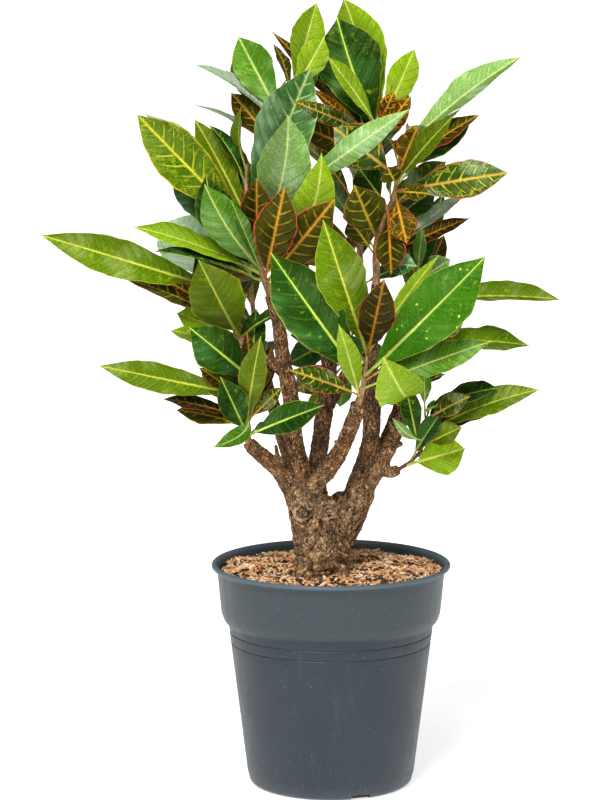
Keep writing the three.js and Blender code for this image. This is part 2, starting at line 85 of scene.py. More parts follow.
# Pot
POT_HEIGHT = 254
RIM_RADIUS = 135
LIP_RADIUS = 2.9
COLLAR_TOP = 246
COLLAR_TOP_RADIUS = 128.5
COLLAR_BOTTOM = 197
COLLAR_BOTTOM_RADIUS = 124
BODY_TOP = 185
BODY_TOP_RADIUS = 116
BODY_BOTTOM_RADIUS = 93
INNER_FOOT_INSET = 5
WALL = 2.2
FLOOR = 3
NOTCH_COUNT = 3
NOTCH_WIDTH = 22
NOTCH_HEIGHT = 6
NOTCH_DEPTH = 24
NOTCH_TURN = 0.385
GROOVE_HEIGHTS = [164.5, 176.5]
GROOVE_DEPTH = 0.9
GROOVE_HALF_WIDTH = 1.1
# Steps in half widths across a groove, with the share of its depth at each.
GROOVE_SECTION = [(-2, 0), (-1, 0.15), (-0.5, 0.8), (0, 1), (0.5, 0.8), (1, 0.15), (2, 0)]
# The rounded step under the collar: how far it stands out from the body's top, and its height.
STEP_SECTION = [(-0.3, 183.4), (0.1, 184.8), (1.4, 186.3), (3.2, 187.6), (4.6, 189.2),
                (5.7, 191.4), (6.6, 194)]
POT_SIDES = 192
POT_SHARP = 40

# Soil
SOIL_TOP = 243
SOIL_TOP_RADIUS = 125.1
SOIL_MOUND = 6
SOIL_COARSE_WAVE = 1.6
SOIL_FINE_WAVE = 1.1
SOIL_RINGS = 46
SOIL_SIDES = 180
SOIL_GAP = 0.8
SOIL_SEED = 41
BED_DEPTH = 1.5
BED_CRUMBS = 1.6
CHIP_COUNT = 3900
SPLINTER_SHARE = 0.75
SPLINTER_LENGTHS = (1.8, 6.2)
CRUMB_LENGTHS = (0.8, 1.8)
CHIP_WIDTHS = (0.5, 1.8)
CHIP_FLATNESS = (0.35, 0.9)
CHIP_TILT = 0.35
CHIP_LEVELS = (-1.2, 1.9)
CHIP_CORNERS = (0.75, 1.25)
# How far above the soil's level the painted shade low on each chip fades out.
PAINTED_SHADE_HEIGHTS = (-1.0, 1.6)
DRY_SHARE = 0.25
FIBRE_COUNT = 260
FIBRE_LENGTHS = (5, 15)
FIBRE_RADII = (0.16, 0.36)
FIBRE_BOW = 0.25
FIBRE_LIFT = 1.3
SOIL_SHARP = 35
TRUNK_OVERLAP = 3

# Trunk
TRUNK_AXIS = [-10, -28]
TRUNK_RADIUS = 28
TRUNK_BENDS = [[0, 150], [0, 200], [0, 250], [1, 280], [2, 305], [3, 325]]
TRUNK_PLAIN_SHARE = 0.6
TRUNK_TAPER = 38
BRANCH_TAPER_POWER = 0.7
BARK_VOXEL = 1.6
BARK_SMOOTHINGS = 8
CAP_SHARE = 0.9
LIMB_STEP = 3
BUTT_RINGS = 50
BUTT_SIDES = 36
FORK_SIDES = 32
BRANCH_SIDES = 20
STUB_SIDES = 12
# Where the grain of each sort of limb starts in the noise, and the step to the next limb's.
FORK_GRAINS = (400, 90)
BRANCH_GRAINS = (700, 310)
STUB_GRAINS = (5000, 60)
GRAIN_BLOCK = 2000
# Heights at which old bark fades out, and at which the wrinkles of the butt fade out and start.
OLD_BARK_FADE = (372, 302)
WRINKLES_FADE = (300, 274)
WRINKLES_START = (230, 240)
SCAR_SPACING = 13
FULL_RELIEF_RADIUS = 9
KNOT_RISE = 3
KNOT_HOLLOW = 2.2
KNOT_RINGS = 2.7
# Knots: where each is, and its radius.
KNOTS = [([-31, -36, 318], 18), ([-3, -48, 321], 12), ([18, -38, 304], 10), ([-26, -54, 288], 9),
         ([4, -56, 278], 9), ([38, -20, 345], 8), ([-44, -22, 347], 8)]

# Burl and root flares low on the butt: points on the axis, and radius at the foot and at the end.
BURLS = [
    ([[-11, -34, 278], [-14, -46, 262], [-20, -58, 246], [-22, -62, 238]], [25, 16]),
    ([[-18, -34, 270], [-26, -42, 254], [-32, -50, 240]], [15, 8]),
    ([[0, -36, 268], [8, -46, 254], [12, -54, 240]], [13, 7]),
    ([[-2, -14, 300], [6, -7, 314], [10, -4, 326]], [16, 11]),
    ([[-22, -24, 296], [-30, -30, 316], [-34, -26, 334]], [17, 12]),
    ([[2, -34, 292], [-4, -38, 314], [-6, -34, 324]], [14, 8]),
]

FORKS = [
    ([[-13, -26, 263], [-17, -20, 282], [-25, -10, 305], [-33, -7, 332]], [25, 19]),
    ([[-7, -26, 263], [1, -19, 282], [17, -8, 305], [32, -2, 332]], [25, 17]),
]

BRANCHES = {
    "left": ([[-24, -5, 305], [-43, -8, 339], [-54, -10, 356], [-71, -14, 373], [-92, -18, 395]],
             [13, 8]),
    "upper_left": ([[-22, -6, 305], [-30, -10, 345], [-42, -10, 393], [-45, -12, 443],
                    [-53, -14, 483], [-59, -16, 527], [-68, -20, 560]], [15, 6.5]),
    "outer_left": ([[-52, -14, 470], [-75, -12, 490], [-98, -12, 505]], [6, 5]),
    "front": ([[-20, -8, 312], [-20, -22, 342], [-4, -34, 366], [12, -42, 392], [26, -50, 428],
               [30, -58, 445]], [13, 8]),
    "middle": ([[-10, -12, 302], [-16, 16, 350], [-5, 28, 443], [-2, 30, 471], [8, 34, 560],
                [24, 38, 620], [34, 38, 655]], [13, 5.5]),
    "crown_left": ([[-3, 30, 465], [-16, 14, 540], [-33, 3, 600], [-45, 5, 650]], [6.5, 5]),
    "upper_right": ([[18, 0, 305], [40, 5, 359], [45, 5, 404], [43, 4, 454], [46, 0, 520],
                     [50, -5, 572]], [14, 6]),
    "right": ([[10, -4, 290], [28, -2, 322], [54, 0, 365], [74, 4, 404], [83, 8, 430]], [15, 7]),
    "lower_right": ([[54, -1, 362], [66, -5, 358], [76, -8, 362]], [8, 6]),
    "centre": ([[-5, 26, 425], [6, 46, 440], [14, 58, 456]], [7, 5.5]),
    "back_left": ([[-20, -12, 296], [-50, 34, 380], [-74, 66, 450]], [13, 7]),
    "back": ([[12, -10, 296], [46, 60, 390], [44, 98, 470], [36, 108, 530]], [13, 6]),
    "back_right": ([[12, -12, 298], [60, 34, 380], [88, 66, 450]], [13, 7]),
}

# Dead side twigs and cut stubs on the branches: where each starts and ends, and its radii.
STUBS = [
    ([-46, -14, 396], [-64, -24, 420], 4.0, 2.4),
    ([-44, -16, 424], [-60, -28, 438], 3.6, 2.2),
    ([-50, -18, 372], [-60, -30, 378], 5.0, 3.6),
    ([-58, -16, 362], [-62, -22, 392], 4.0, 2.4),
    ([64, 0, 384], [80, -10, 392], 5.0, 3.6),
    ([-72, -18, 380], [-80, -30, 392], 4.0, 2.6),
    ([44, -2, 440], [56, -14, 452], 3.8, 2.4),
    ([70, -2, 400], [66, -18, 418], 4.0, 2.4),
    ([14, -42, 392], [4, -54, 402], 4.0, 2.6),
    ([-18, -18, 335], [-16, -34, 342], 5.5, 4.0),
]

# Shoots: the branch and the twig that carry the leaves, and each leaf as how far along the twig
# it starts, its tip (x, y, z), its width, its turn to the sky, its arch, its sweep and its kind.
TWIG_RADIUS = 4.6
TWIG_TIP_RADIUS = 1.6
TWIG_RINGS = 26
TWIG_SIDES = 12
TWIG_LUMPS = 0.09
TWIG_OVERLAP = 0.02
# Shoots whose stems are still young: thinner and red-brown.
YOUNG_SHOOTS = ["lower_right_shoot"]
YOUNG_SHARE = 0.52
LOWEST_LEAF = 0.12
HIGHEST_LEAF = 0.97
LEAF_PHASE = 0.37
SHOOTS = {
    "crown_shoot": ("middle", [[44, 38, 690], [52, 35, 725], [54, 34, 750]], [
        (0.8, 13, 100, 884, 60, 0, 0.03, -0.03, "lime"),
        (0.75, 6, 75, 863, 76, 0, 0.04, 0.02, "deep"),
        (0.85, -5, 0, 824, 27, 40, 0.03, 0, "lime"),
        (0.75, -43, -43, 778, 22, 10, 0.03, 0, "variegated"),
        (0.65, -23, 10, 789, 14, 20, 0, 0, "network"),
        (0.5, -37, 0, 748, 34, 10, 0.03, 0, "maroon"),
        (0.6, -68, 88, 847, 26, 50, 0.02, 0, "maroon"),
        (0.85, 93, 60, 829, 35, 0, 0.03, 0, "lime"),
        (0.7, 86, 5, 778, 30, 10, 0.1, 0, "network"),
        (0.8, 70, 0, 786, 20, 20, 0.1, 0, "network"),
    ]),
    "crown_left_shoot": ("crown_left", [[-52, 15, 700], [-54, 24, 745], [-44, 30, 782]], [
        (0.7, -105, 70, 842, 46, 0, 0.04, 0, "mid"),
        (0.65, -154, 50, 812, 40, 75, 0.06, 0, "sheen"),
        (0.6, -113, 100, 814, 40, 20, 0.03, 0, "olive"),
        (0.4, -113, 50, 780, 36, 20, 0.05, 0, "maroon"),
        (0.4, -158, 90, 764, 30, 80, 0.06, 0, "sheen"),
        (0.95, -8, 42, 843, 36, 0, 0.02, 0, "lime"),
        (1, -17, 70, 880, 38, 0, 0.02, 0, "lime"),
        (0.05, 84, -95, 773, 30, 20, 0.02, 0, "pale"),
    ]),
    "upper_right_shoot": ("upper_right", [[50, -8, 611], [57, -12, 645], [68, -15, 668],
                                          [74, -12, 700], [76, -5, 722]], [
        (0.75, 2, -30, 748, 54, 0, 0.03, 0, "variegated"),
        (0.25, 25, -60, 687, 52, 0, 0.05, 0, "dark_olive"),
        (0.7, 61, -45, 706, 26, 0, 0.1, 0, "dark_olive"),
        (0.65, 108, -45, 676, 21, 20, 0.05, 0, "dark_olive"),
        (0.65, 195, -40, 699, 44, 10, 0.05, 0, "variegated"),
        (0.95, 210, 0, 824, 44, 50, 0.05, 0, "pale"),
        (0.75, 94, -30, 747, 30, 10, 0.05, 0, "network"),
        (0.85, 107, -10, 748, 34, 20, 0, 0, "variegated"),
        (0.7, 133, -70, 764, 28, 30, 0.05, 0, "olive"),
        (0.8, 143, -20, 769, 20, 70, 0, 0, "sheen"),
        (0.8, 163, -30, 762, 34, 55, 0.03, 0, "maroon"),
        (0.75, 155, -15, 755, 44, 40, 0.05, 0, "deep"),
        (0.65, 83, -45, 621, 34, 0, 0.05, 0, "network"),
        (0.5, 66, -46, 587, 37, 0, 0.05, 0, "maroon"),
        (0.05, 94, -45, 596, 28, 20, 0.03, 0, "blue"),
        (0.12, 152, 15, 671, 22, 50, 0.03, 0, "sheen"),
        (0.12, 154, -5, 645, 24, 40, 0.04, 0, "brown"),
    ]),
    "upper_left_shoot": ("upper_left", [[-78, -24, 590], [-88, -24, 625], [-94, -18, 665],
                                        [-94, -8, 705]], [
        (0.15, -51, -90, 688, 48, 0, 0.06, 0, "maroon"),
        (0.05, 3, -85, 674, 52, 0, 0.05, 0, "maroon"),
        (0.2, -11, -55, 722, 48, 0, 0.05, -0.12, "lime"),
        (0.45, -48, -35, 762, 60, 0, 0.05, -0.08, "pale"),
        (0.6, -23, 0, 812, 68, 10, 0.05, 0, "blue"),
        (0.55, -216, -10, 761, 60, 5, 0.05, 0, "gold"),
        (0.6, -153, 20, 753, 36, 20, 0.05, 0, "olive"),
        (0.6, -120, 40, 735, 34, 20, 0.03, 0, "teal"),
        (0.45, -180, 20, 688, 42, 10, 0.03, 0, "teal"),
        (0.4, -138, -30, 694, 48, 20, 0.03, 0.15, "deep"),
        (0.25, -139, -60, 688, 46, 10, 0.05, 0.05, "mid"),
        (0.2, -110, -75, 672, 18, 30, 0, 0, "mid"),
        (0.35, -82, -65, 695, 40, 0, 0.03, 0, "maroon"),
        (0.2, -219, -50, 640, 44, 65, 0.04, 0, "lime"),
        (0.1, -194, -75, 616, 36, 78, 0.05, 0, "deep"),
        (0.7, -210, 60, 756, 44, 60, 0.04, 0, "sheen"),
    ]),
    "left_shoot": ("outer_left", [[-112, -12, 535], [-118, -10, 570]], [
        (0.9, -322, -40, 630, 44, 10, 0.06, 0, "moss"),
        (0.3, -229, -30, 580, 34, 60, 0.05, 0, "dark_olive"),
        (0.5, -182, 20, 568, 26, 50, 0.03, 0, "sheen"),
        (0.5, -177, -45, 577, 20, 20, 0, 0, "maroon"),
        (0.05, -145, -80, 607, 66, 0, 0.06, 0, "olive"),
        (0.15, -172, -20, 540, 40, 30, 0.03, 0, "lime"),
        (0.95, -185, 90, 632, 70, 10, 0.04, 0, "sheen"),
    ]),
    "lower_left_shoot": ("left", [[-94, -22, 425], [-86, -24, 470]], [
        (0.95, -156, -70, 531, 52, 10, 0.08, 0, "deep"),
        (0.85, -157, -20, 513, 30, 50, 0.03, 0, "teal"),
        (0.75, -259, -40, 484, 34, 10, 0.05, 0, "moss"),
        (0.7, -146, -60, 485, 20, 20, 0, 0, "maroon"),
        (0.6, -148, -30, 461, 20, 60, 0, 0, "pale"),
        (0.45, -187, -35, 446, 30, 65, 0.03, 0, "brown"),
        (0.3, -173, -20, 431, 34, 50, 0.05, 0, "dark_olive"),
        (0.15, -122, -75, 477, 36, 10, 0.05, 0, "deep"),
        (0.35, -77, -95, 525, 32, 10, 0.05, 0, "olive"),
        (0.9, -93, -60, 525, 16, 0, 0, 0, "maroon"),
        (0.55, -130, -85, 400, 22, 20, 0.1, 0.18, "mid"),
        (0.1, -8, -85, 447, 36, 20, 0.05, 0, "deep"),
        (0.4, -54, -60, 463, 20, 20, 0, 0, "variegated"),
    ]),
    "front_shoot": ("front", [[36, -64, 470], [40, -62, 502]], [
        (0.5, -66, -90, 616, 70, 0, 0.05, 0, "deep"),
        (0.6, 168, -100, 614, 70, 0, 0.05, 0, "dotted"),
        (1, -9, -110, 654, 56, 0, 0.05, 0, "moss"),
        (0.95, 57, -125, 592, 44, 0, 0.05, 0, "brown"),
        (1, 118, -60, 610, 20, 40, 0.03, 0, "lime"),
        (0.2, -45, -105, 489, 30, 20, 0.05, 0, "variegated"),
        (0.8, 18, -105, 528, 18, 20, 0, 0, "teal"),
        (0.02, 8, -145, 545, 26, 10, 0.05, 0, "lime"),
        (0.5, 148, -75, 545, 30, 20, 0.03, 0, "variegated"),
        (0.35, 175, -90, 519, 34, 20, 0.05, 0, "mid"),
    ]),
    "right_shoot": ("right", [[92, 14, 500], [96, 15, 580]], [
        (0.8, 256, 0, 553, 44, 67, 0.04, 0, "moss"),
        (0.5, 224, 20, 498, 48, 60, 0.05, 0, "moss"),
        (0.3, 122, -20, 475, 18, 20, 0, 0, "maroon"),
        (1, 100, -55, 640, 16, 20, 0, 0, "mid"),
        (0.95, 132, -15, 600, 30, 20, 0, 0, "pale"),
        (0.02, 56, -150, 510, 56, 0, 0.1, 0, "lime"),
    ]),
    "lower_right_shoot": ("lower_right", [[96, -12, 378], [106, -16, 402], [104, -18, 435]], [
        (0.95, 185, -50, 461, 36, 60, 0.05, 0, "deep"),
        (0.85, 153, -70, 455, 26, 30, 0.03, 0, "variegated"),
        (0.7, 230, -60, 461, 38, 50, 0.06, 0, "moss"),
        (0.65, 185, -30, 433, 26, 65, 0.03, 0, "brown"),
        (0.5, 145, -50, 417, 28, 30, 0.03, 0, "olive"),
        (0.12, 150, -20, 388, 48, 10, 0.05, 0, "lime"),
        (0.6, 68, -55, 428, 12, 20, 0.05, 0.1, "pale"),
        (0.9, 103, -35, 478, 18, 30, 0, 0, "mid"),
    ]),
    "centre_shoot": ("centre", [[18, 68, 490], [12, 76, 530]], [
        (0.8, -46, 30, 508, 56, 20, 0.05, 0, "teal"),
        (0.3, -42, 62, 440, 34, 20, 0.03, 0, "variegated"),
        (0.4, 10, 98, 415, 24, 0, 0.03, 0, "mid"),
        (0.4, 78, 40, 425, 30, 10, 0.12, 0, "dark_olive"),
        (0.3, -30, 85, 405, 18, 20, 0.03, 0, "lime"),
    ]),
}

# Shoots behind, as fans of leaves: branch, twig, number of leaves, middle direction and spread in
# degrees, and reach in millimetres.
FANS = {
    "back_left_shoot": ("back_left", [[-88, 84, 520], [-96, 96, 610]], 11, 138, 50, 130),
    "back_shoot": ("back", [[32, 114, 600], [27, 120, 660], [26, 120, 720]], 11, 122, 66, 120),
    "back_right_shoot": ("back_right", [[98, 78, 505], [104, 90, 575]], 11, 80, 42, 110),
}
GOLDEN_SHARE = 0.618
FAN_RISES = [5, 68]
FAN_WIDTH = 0.27
FAN_SHORTENING = 0.2
FAN_TURN = 60
FAN_ARCH = 0.07
FAN_KINDS = ["deep", "olive", "variegated", "mid", "lime", "blue", "maroon", "deep", "dark_olive",
             "gold", "teal"]

# More leaves that only the look has, at the back of each shoot: how many, and their reach.
DEPTH_LEAVES = {
    "crown_shoot": (8, 66), "crown_left_shoot": (7, 70), "upper_right_shoot": (8, 40),
    "upper_left_shoot": (10, 80), "left_shoot": (5, 70), "lower_left_shoot": (4, 30),
    "right_shoot": (7, 50), "lower_right_shoot": (3, 28), "centre_shoot": (5, 46),
}
DEPTH_SPREAD = 75
DEPTH_TURN = 62
DEPTH_WIDTH = 0.36
DEPTH_RISES = (0.3, 0.6)

# Leaves
ROW_STEP = 2.6
ROW_LIMITS = (22, 84)
WIDE_LEAF = 36
BLADE_THICKNESS = 0.55
STALK_LENGTH = 14
LONGEST_STALK_SHARE = 0.3
STALK_RADII = [2.1, 1.55, 0.45]
STOUT_WIDTH = 44
STOUTNESS_LIMITS = (0.65, 1.15)
# How far the stalk and the midrib lie under the blade's line, as shares of their radius.
SINK_SHARES = (0.2, 0.75)
RIB_SIDES = 6
BLADE_TWIST = 0.16
BLADE_FOLD = math.radians(17)
FOLD_SHARES = (0.7, 1.3)
EDGE_CURL = (-0.1, 0.06)
RIPPLES_PER_LEAF = (4, 6)
RIPPLE_SHARES = (0.015, 0.04)
BLADE_WAVE = 0.06
WAVES_PER_LEAF = 2.5
WIDEST_POWER = 1.3
FULLNESS_POWERS = [0.78, 1.2]
# Waves that make a blade's outline uneven: their sizes, and how many run along it.
UNEVEN_SIZES = (0.03, 0.022, 0.014)
UNEVEN_RATES = (2.2, 5.3, 9.1)
VEIN_SPACING = 0.255
VEIN_UNIT = 62
VEIN_SLOPE = 0.55
VEIN_CURVE = 0.9
VEIN_STAGGER = 0.4
QUILT_SHARE = 0.02
BASE_HALF_WIDTH = 1.3
TIP_HALF_WIDTH = 0.35

# Colours of the leaf kinds, as they look in soft light. Each kind has the ground in two tones, its
# lateral veins and how strong they are, the loops that join them, its fine network and strength,
# its blotches and their share, its specks and round dots, the painted sheen (a pale reflection
# painted over parts of it), the midrib, the edge and how wide the edge colour is, and the
# underside.
KINDS = {
    "lime": dict(
        ground=("#8aae12", "#729a08"), vein=("#b6cc48", 0.42), loops=0, net=("#98b828", 0.2),
        blotch=("#9cbc20", 0.2), speck="#7a6a1c", painted_sheen=("#b0c854", 0.18), rib="#d8e070",
        edge=("#a3b42c", 0.03), under="#7c9a20"),
    "mid": dict(
        ground=("#508618", "#366c10"), vein=("#90ba58", 0.42), loops=0, net=("#70a438", 0.2),
        blotch=("#78a428", 0.12), speck="#c8d078", painted_sheen=("#a4cc80", 0.35), rib="#d0dc74",
        edge=("#86a22c", 0.025), under="#6c8e28"),
    "deep": dict(
        ground=("#134006", "#062404"), vein=("#4c8a2c", 0.35), loops=0, net=("#38721c", 0.2),
        blotch=("#8cac20", 0.06), speck="#c8cc50", painted_sheen=("#5c984c", 0.3), rib="#ccdc58",
        edge=("#7f8c20", 0.025), under="#4c6c20"),
    "dotted": dict(
        ground=("#3c7c0c", "#20580a"), vein=("#62a034", 0.35), loops=0, net=("#4c8a20", 0.2),
        blotch=("#86ac20", 0.05), speck="#d8dc58", painted_sheen=("#70a44c", 0.25), rib="#d4e06c",
        edge=("#8a9c28", 0.025), under="#587c20", dots="#e0e048"),
    "blue": dict(
        ground=("#42793a", "#265a2c"), vein=("#b4d480", 0.85), loops=0.15, net=("#6ca050", 0.2),
        blotch=("#8cb44c", 0.08), speck="#c4d088", painted_sheen=("#b0d8a4", 0.6), rib="#d2e088",
        edge=("#a0b854", 0.025), under="#6c8c40"),
    "pale": dict(
        ground=("#84a85a", "#669244"), vein=("#bcd890", 0.5), loops=0, net=("#98bc74", 0.2),
        blotch=("#a4c45c", 0.1), speck="#e4ecc8", painted_sheen=("#b8d8a4", 0.5), rib="#d4e088",
        edge=("#a8bc60", 0.025), under="#84a458"),
    "olive": dict(
        ground=("#5c7004", "#466402"), vein=("#84942c", 0.4), loops=0, net=("#748814", 0.25),
        blotch=("#808f14", 0.15), speck="#94702a", painted_sheen=("#94a84c", 0.25), rib="#c8ca50",
        edge=("#938a20", 0.03), under="#6c6c14"),
    "gold": dict(
        ground=("#466a02", "#325202"), vein=("#c4c834", 0.75), loops=0.4, net=("#a8b428", 0.2),
        blotch=("#90a40c", 0.15), speck="#9a7a14", painted_sheen=("#94ac48", 0.18), rib="#dcd844",
        edge=("#c8a82c", 0.035), under="#6c7c14"),
    "moss": dict(
        ground=("#587a04", "#446604"), vein=("#94a824", 0.38), loops=0, net=("#84981c", 0.25),
        blotch=("#8c9c10", 0.15), speck="#9a6c14", painted_sheen=("#acb868", 0.3), rib="#d0d450",
        edge=("#a09c2c", 0.025), under="#748418"),
    # Leaves whose pale whitish colour is painted sheen: reflected light painted into the ground.
    "sheen": dict(
        ground=("#bed4b4", "#88b47c"), vein=("#d0dfc4", 0.5), loops=0, net=("#c0d4b4", 0.25),
        blotch=("#c8dcc4", 0.4), speck="#eef4e4", painted_sheen=("#dcead8", 0.5), rib="#d8e4b0",
        edge=("#b8cc98", 0.025), under="#98b480"),
    "teal": dict(
        ground=("#2a5c24", "#143e18"), vein=("#5c8c44", 0.5), loops=0, net=("#386830", 0.2),
        blotch=("#5c8420", 0.06), speck="#c0c458", painted_sheen=("#74a080", 0.35), rib="#bcc254",
        edge=("#a0503c", 0.03), under="#485c28"),
    "dark_olive": dict(
        ground=("#383c02", "#242c02"), vein=("#c4ac28", 0.9), loops=0.2, net=("#545406", 0.25),
        blotch=("#68700c", 0.08), speck="#b89a24", painted_sheen=("#5c6820", 0.2), rib="#e2b838",
        edge=("#b8603a", 0.035), under="#503808"),
    "maroon": dict(
        ground=("#343202", "#222602"), vein=("#d8a82c", 0.6), loops=0.1, net=("#504604", 0.25),
        blotch=("#583404", 0.1), speck="#c89428", painted_sheen=("#6c6420", 0.15), rib="#ec9c30",
        edge=("#d0483c", 0.04), under="#48240c"),
    "brown": dict(
        ground=("#1e1602", "#140e02"), vein=("#b4802c", 0.7), loops=0.1, net=("#403004", 0.25),
        blotch=("#4c3604", 0.12), speck="#94601c", painted_sheen=("#584824", 0.15), rib="#d08828",
        edge=("#b4482c", 0.035), under="#4c2e0c"),
    "variegated": dict(
        ground=("#244c10", "#103206"), vein=("#dccc34", 0.95), loops=0.5, net=("#587814", 0.25),
        blotch=("#90a01c", 0.1), speck="#d8cc40", painted_sheen=("#a0bc94", 0.4), rib="#eeb058",
        edge=("#d6604e", 0.04), under="#483008"),
    "network": dict(
        ground=("#2c2802", "#222a02"), vein=("#e8a424", 0.95), loops=1, net=("#c07c14", 0.55),
        blotch=("#b0681c", 0.15), speck="#e0a030", painted_sheen=("#7c6020", 0.1), rib="#f0ac38",
        edge=("#dc4a30", 0.05), under="#5c2c0c"),
    "husk": dict(
        ground=("#b08c60", "#86643c"), vein=("#6c4c2c", 0.5), loops=0, net=("#94704c", 0.4),
        blotch=("#c8a880", 0.3), speck="#5c4024", painted_sheen=("#d8c4a4", 0.4), rib="#6c5030",
        edge=("#7c5c38", 0.04), under="#a07c54"),
}

# Small leaves deep inside the foliage, that only the look has: the shoot, and its leaves.
FILLERS = {
    "lower_left_shoot": [
        (0.9, -84, 10, 541, 32, 20, 0.03, 0, "deep"),
        (0.5, -66, 5, 500, 24, 10, 0.04, 0, "brown"),
        (0.3, -120, -20, 452, 22, 30, 0.05, 0, "olive"),
        (0.4, -138, 12, 492, 46, 10, 0.04, 0, "deep"),
        (0.2, -66, 14, 500, 26, 10, 0.04, 0, "teal"),
    ],
    "centre_shoot": [
        (0.9, -55, 60, 541, 40, 10, 0.04, 0, "deep"),
        (0.7, -50, 66, 470, 34, 10, 0.05, 0, "teal"),
        (0.9, 66, 60, 520, 40, 10, 0.05, 0, "deep"),
        (0.5, 60, 80, 470, 34, 20, 0.05, 0, "teal"),
    ],
    "lower_right_shoot": [
        (0.4, 82, -24, 462, 24, 10, 0.03, 0, "deep"),
        (0.2, 124, -30, 432, 24, 30, 0.04, 0, "teal"),
        (0.5, 140, 0, 452, 26, 30, 0.04, 0, "deep"),
    ],
    "upper_left_shoot": [
        (0.05, -124, -30, 594, 26, 10, 0.05, 0, "husk"),
        (0.5, -60, 30, 740, 40, 10, 0.04, 0, "deep"),
        (0.3, -36, 10, 690, 40, 10, 0.05, 0, "teal"),
        (0.2, -140, 30, 640, 34, 20, 0.05, 0, "deep"),
    ],
    "upper_right_shoot": [
        (0.3, 100, 20, 690, 30, 20, 0.04, 0, "teal"),
        (0.5, 30, 10, 700, 36, 10, 0.05, 0, "deep"),
        (0.3, 116, 25, 676, 36, 15, 0.04, 0, "deep"),
        (0.25, 108, 30, 640, 32, 15, 0.05, 0, "dark_olive"),
        (0.15, 20, 25, 640, 30, 15, 0.04, 0, "dark_olive"),
        (0.45, 128, 20, 706, 34, 20, 0.04, 0, "variegated"),
        (0.05, 76, -30, 655, 13, 30, 0.05, 0, "husk"),
    ],
    "crown_shoot": [
        (0.4, 20, 60, 800, 44, 10, 0.04, 0, "deep"),
        (0.4, 84, 60, 790, 36, 20, 0.05, 0, "teal"),
        (0.3, -10, 50, 760, 36, 10, 0.05, 0, "deep"),
    ],
    "left_shoot": [
        (0.4, -150, -10, 610, 36, 10, 0.04, 0, "deep"),
        (0.2, -120, -50, 590, 26, 20, 0.05, 0, "maroon"),
    ],
    "right_shoot": [
        (0.7, 140, -20, 560, 34, 20, 0.05, 0, "deep"),
        (0.5, 150, 10, 530, 32, 30, 0.05, 0, "variegated"),
        (0.9, 110, 60, 640, 36, 20, 0.05, 0, "teal"),
    ],
}


def add_object(name, data):
    thing = bpy.data.objects.new(name, data)
    bpy.context.scene.collection.objects.link(thing)
    return thing


def look_through_camera():
    data = bpy.data.cameras.new("camera")
    data.sensor_fit = "VERTICAL"
    data.sensor_height = SENSOR_HEIGHT
    data.lens = LENS
    camera = add_object("camera", data)
    camera.location = CAMERA_PLACE
    camera.rotation_euler = (math.radians(90 - CAMERA_DROP), 0, math.radians(CAMERA_TURN))
    bpy.context.scene.camera = camera


def unit(vectors):
    vectors = np.asarray(vectors, float)
    return vectors / np.linalg.norm(vectors, axis=-1, keepdims=True)


def mix(a, b, share):
    return a + (b - a) * share


def ramp(values, low, high):
    """How far each value is from low to high, held between 0 and 1."""
    return np.clip((values - low) / (high - low), 0, 1)


def dot(a, b):
    return np.sum(a * b, axis=-1, keepdims=True)


def pairs(a, b):
    return np.stack(np.broadcast_arrays(a, b), axis=-1).reshape(-1, 2)


def full_turn(sides):
    return np.arange(sides) / sides * 2 * math.pi


def ray(azimuth, rise=0):
    """The direction at an azimuth and a rise above the level, both in radians."""
    level = math.cos(rise)
    return np.array([math.cos(azimuth) * level, math.sin(azimuth) * level, math.sin(rise)])


def rolled(first, second, angle):
    """Two directions turned by an angle in their own plane."""
    cosine, sine = np.cos(angle), np.sin(angle)
    return first * cosine + second * sine, second * cosine - first * sine


def noise_at(places, wide, tall, seed=0.0):
    """Smooth noise at each place, with lumps so wide in x and y and so tall in z."""
    spots = places / [wide, wide, tall] + [seed, 0, 0]
    return np.array([noise.noise(Vector(spot)) for spot in spots])


def curve_points(points, shares):
    """Places on the smooth curve through the points, at shares 0 to 1 of the way along it."""
    points = np.asarray(points, float)
    before = 2 * points[0] - points[1]
    after = 2 * points[-1] - points[-2]
    chain = np.vstack([before, points, after])
    place = np.clip(np.atleast_1d(shares), 0, 1) * (len(points) - 1)
    start = np.minimum(np.floor(place).astype(int), len(points) - 2)
    u = (place - start)[:, None]
    a, b, c, d = (chain[start + k] for k in range(4))
    return 0.5 * (2 * b + (c - a) * u + (2 * a - 5 * b + 4 * c - d) * u**2
                  + (3 * b - a - 3 * c + d) * u**3)


def frames_along(path):
    """At each point of a path, its direction and two directions square to it."""
    tangents = unit(np.gradient(path, axis=0))
    across = unit(np.cross(np.cross(tangents, TURN_HINT), tangents) + 1e-6)
    return tangents, across, np.cross(tangents, across)


def grid_faces(rows, columns, closed=False):
    """Quads of a grid of rows by columns, whose last column joins the first when closed."""
    across = columns if closed else columns - 1
    i, j = np.meshgrid(np.arange(rows - 1), np.arange(across), indexing="ij")
    a = (i * columns + j).ravel()
    b = (i * columns + (j + 1) % columns).ravel()
    return np.stack([a, b, b + columns, a + columns], axis=1)


def ring_points(radii, heights, sides):
    """Vertices of level rings round the z axis, one ring after the other."""
    angles = full_turn(sides)
    radii = np.reshape(radii, (-1, 1))
    heights = np.broadcast_to(heights, (len(radii), sides))
    return np.stack([radii * np.cos(angles), radii * np.sin(angles), heights],
                    axis=-1).reshape(-1, 3)


def tube(points, radii, sides):
    """A capped tube's vertices and faces, round the points, with a radius at each."""
    points = np.asarray(points, float)
    _, across, outward = frames_along(points)
    angles = full_turn(sides)[None, :, None]
    spokes = across[:, None] * np.cos(angles) + outward[:, None] * np.sin(angles)
    radii = np.broadcast_to(np.asarray(radii, float), (len(points),))
    vertices = (points[:, None] + spokes * radii[:, None, None]).reshape(-1, 3)
    first = np.arange(sides)
    last = (len(points) - 1) * sides + first
    return vertices, [grid_faces(len(points), sides, closed=True), [first[::-1]], [last]]


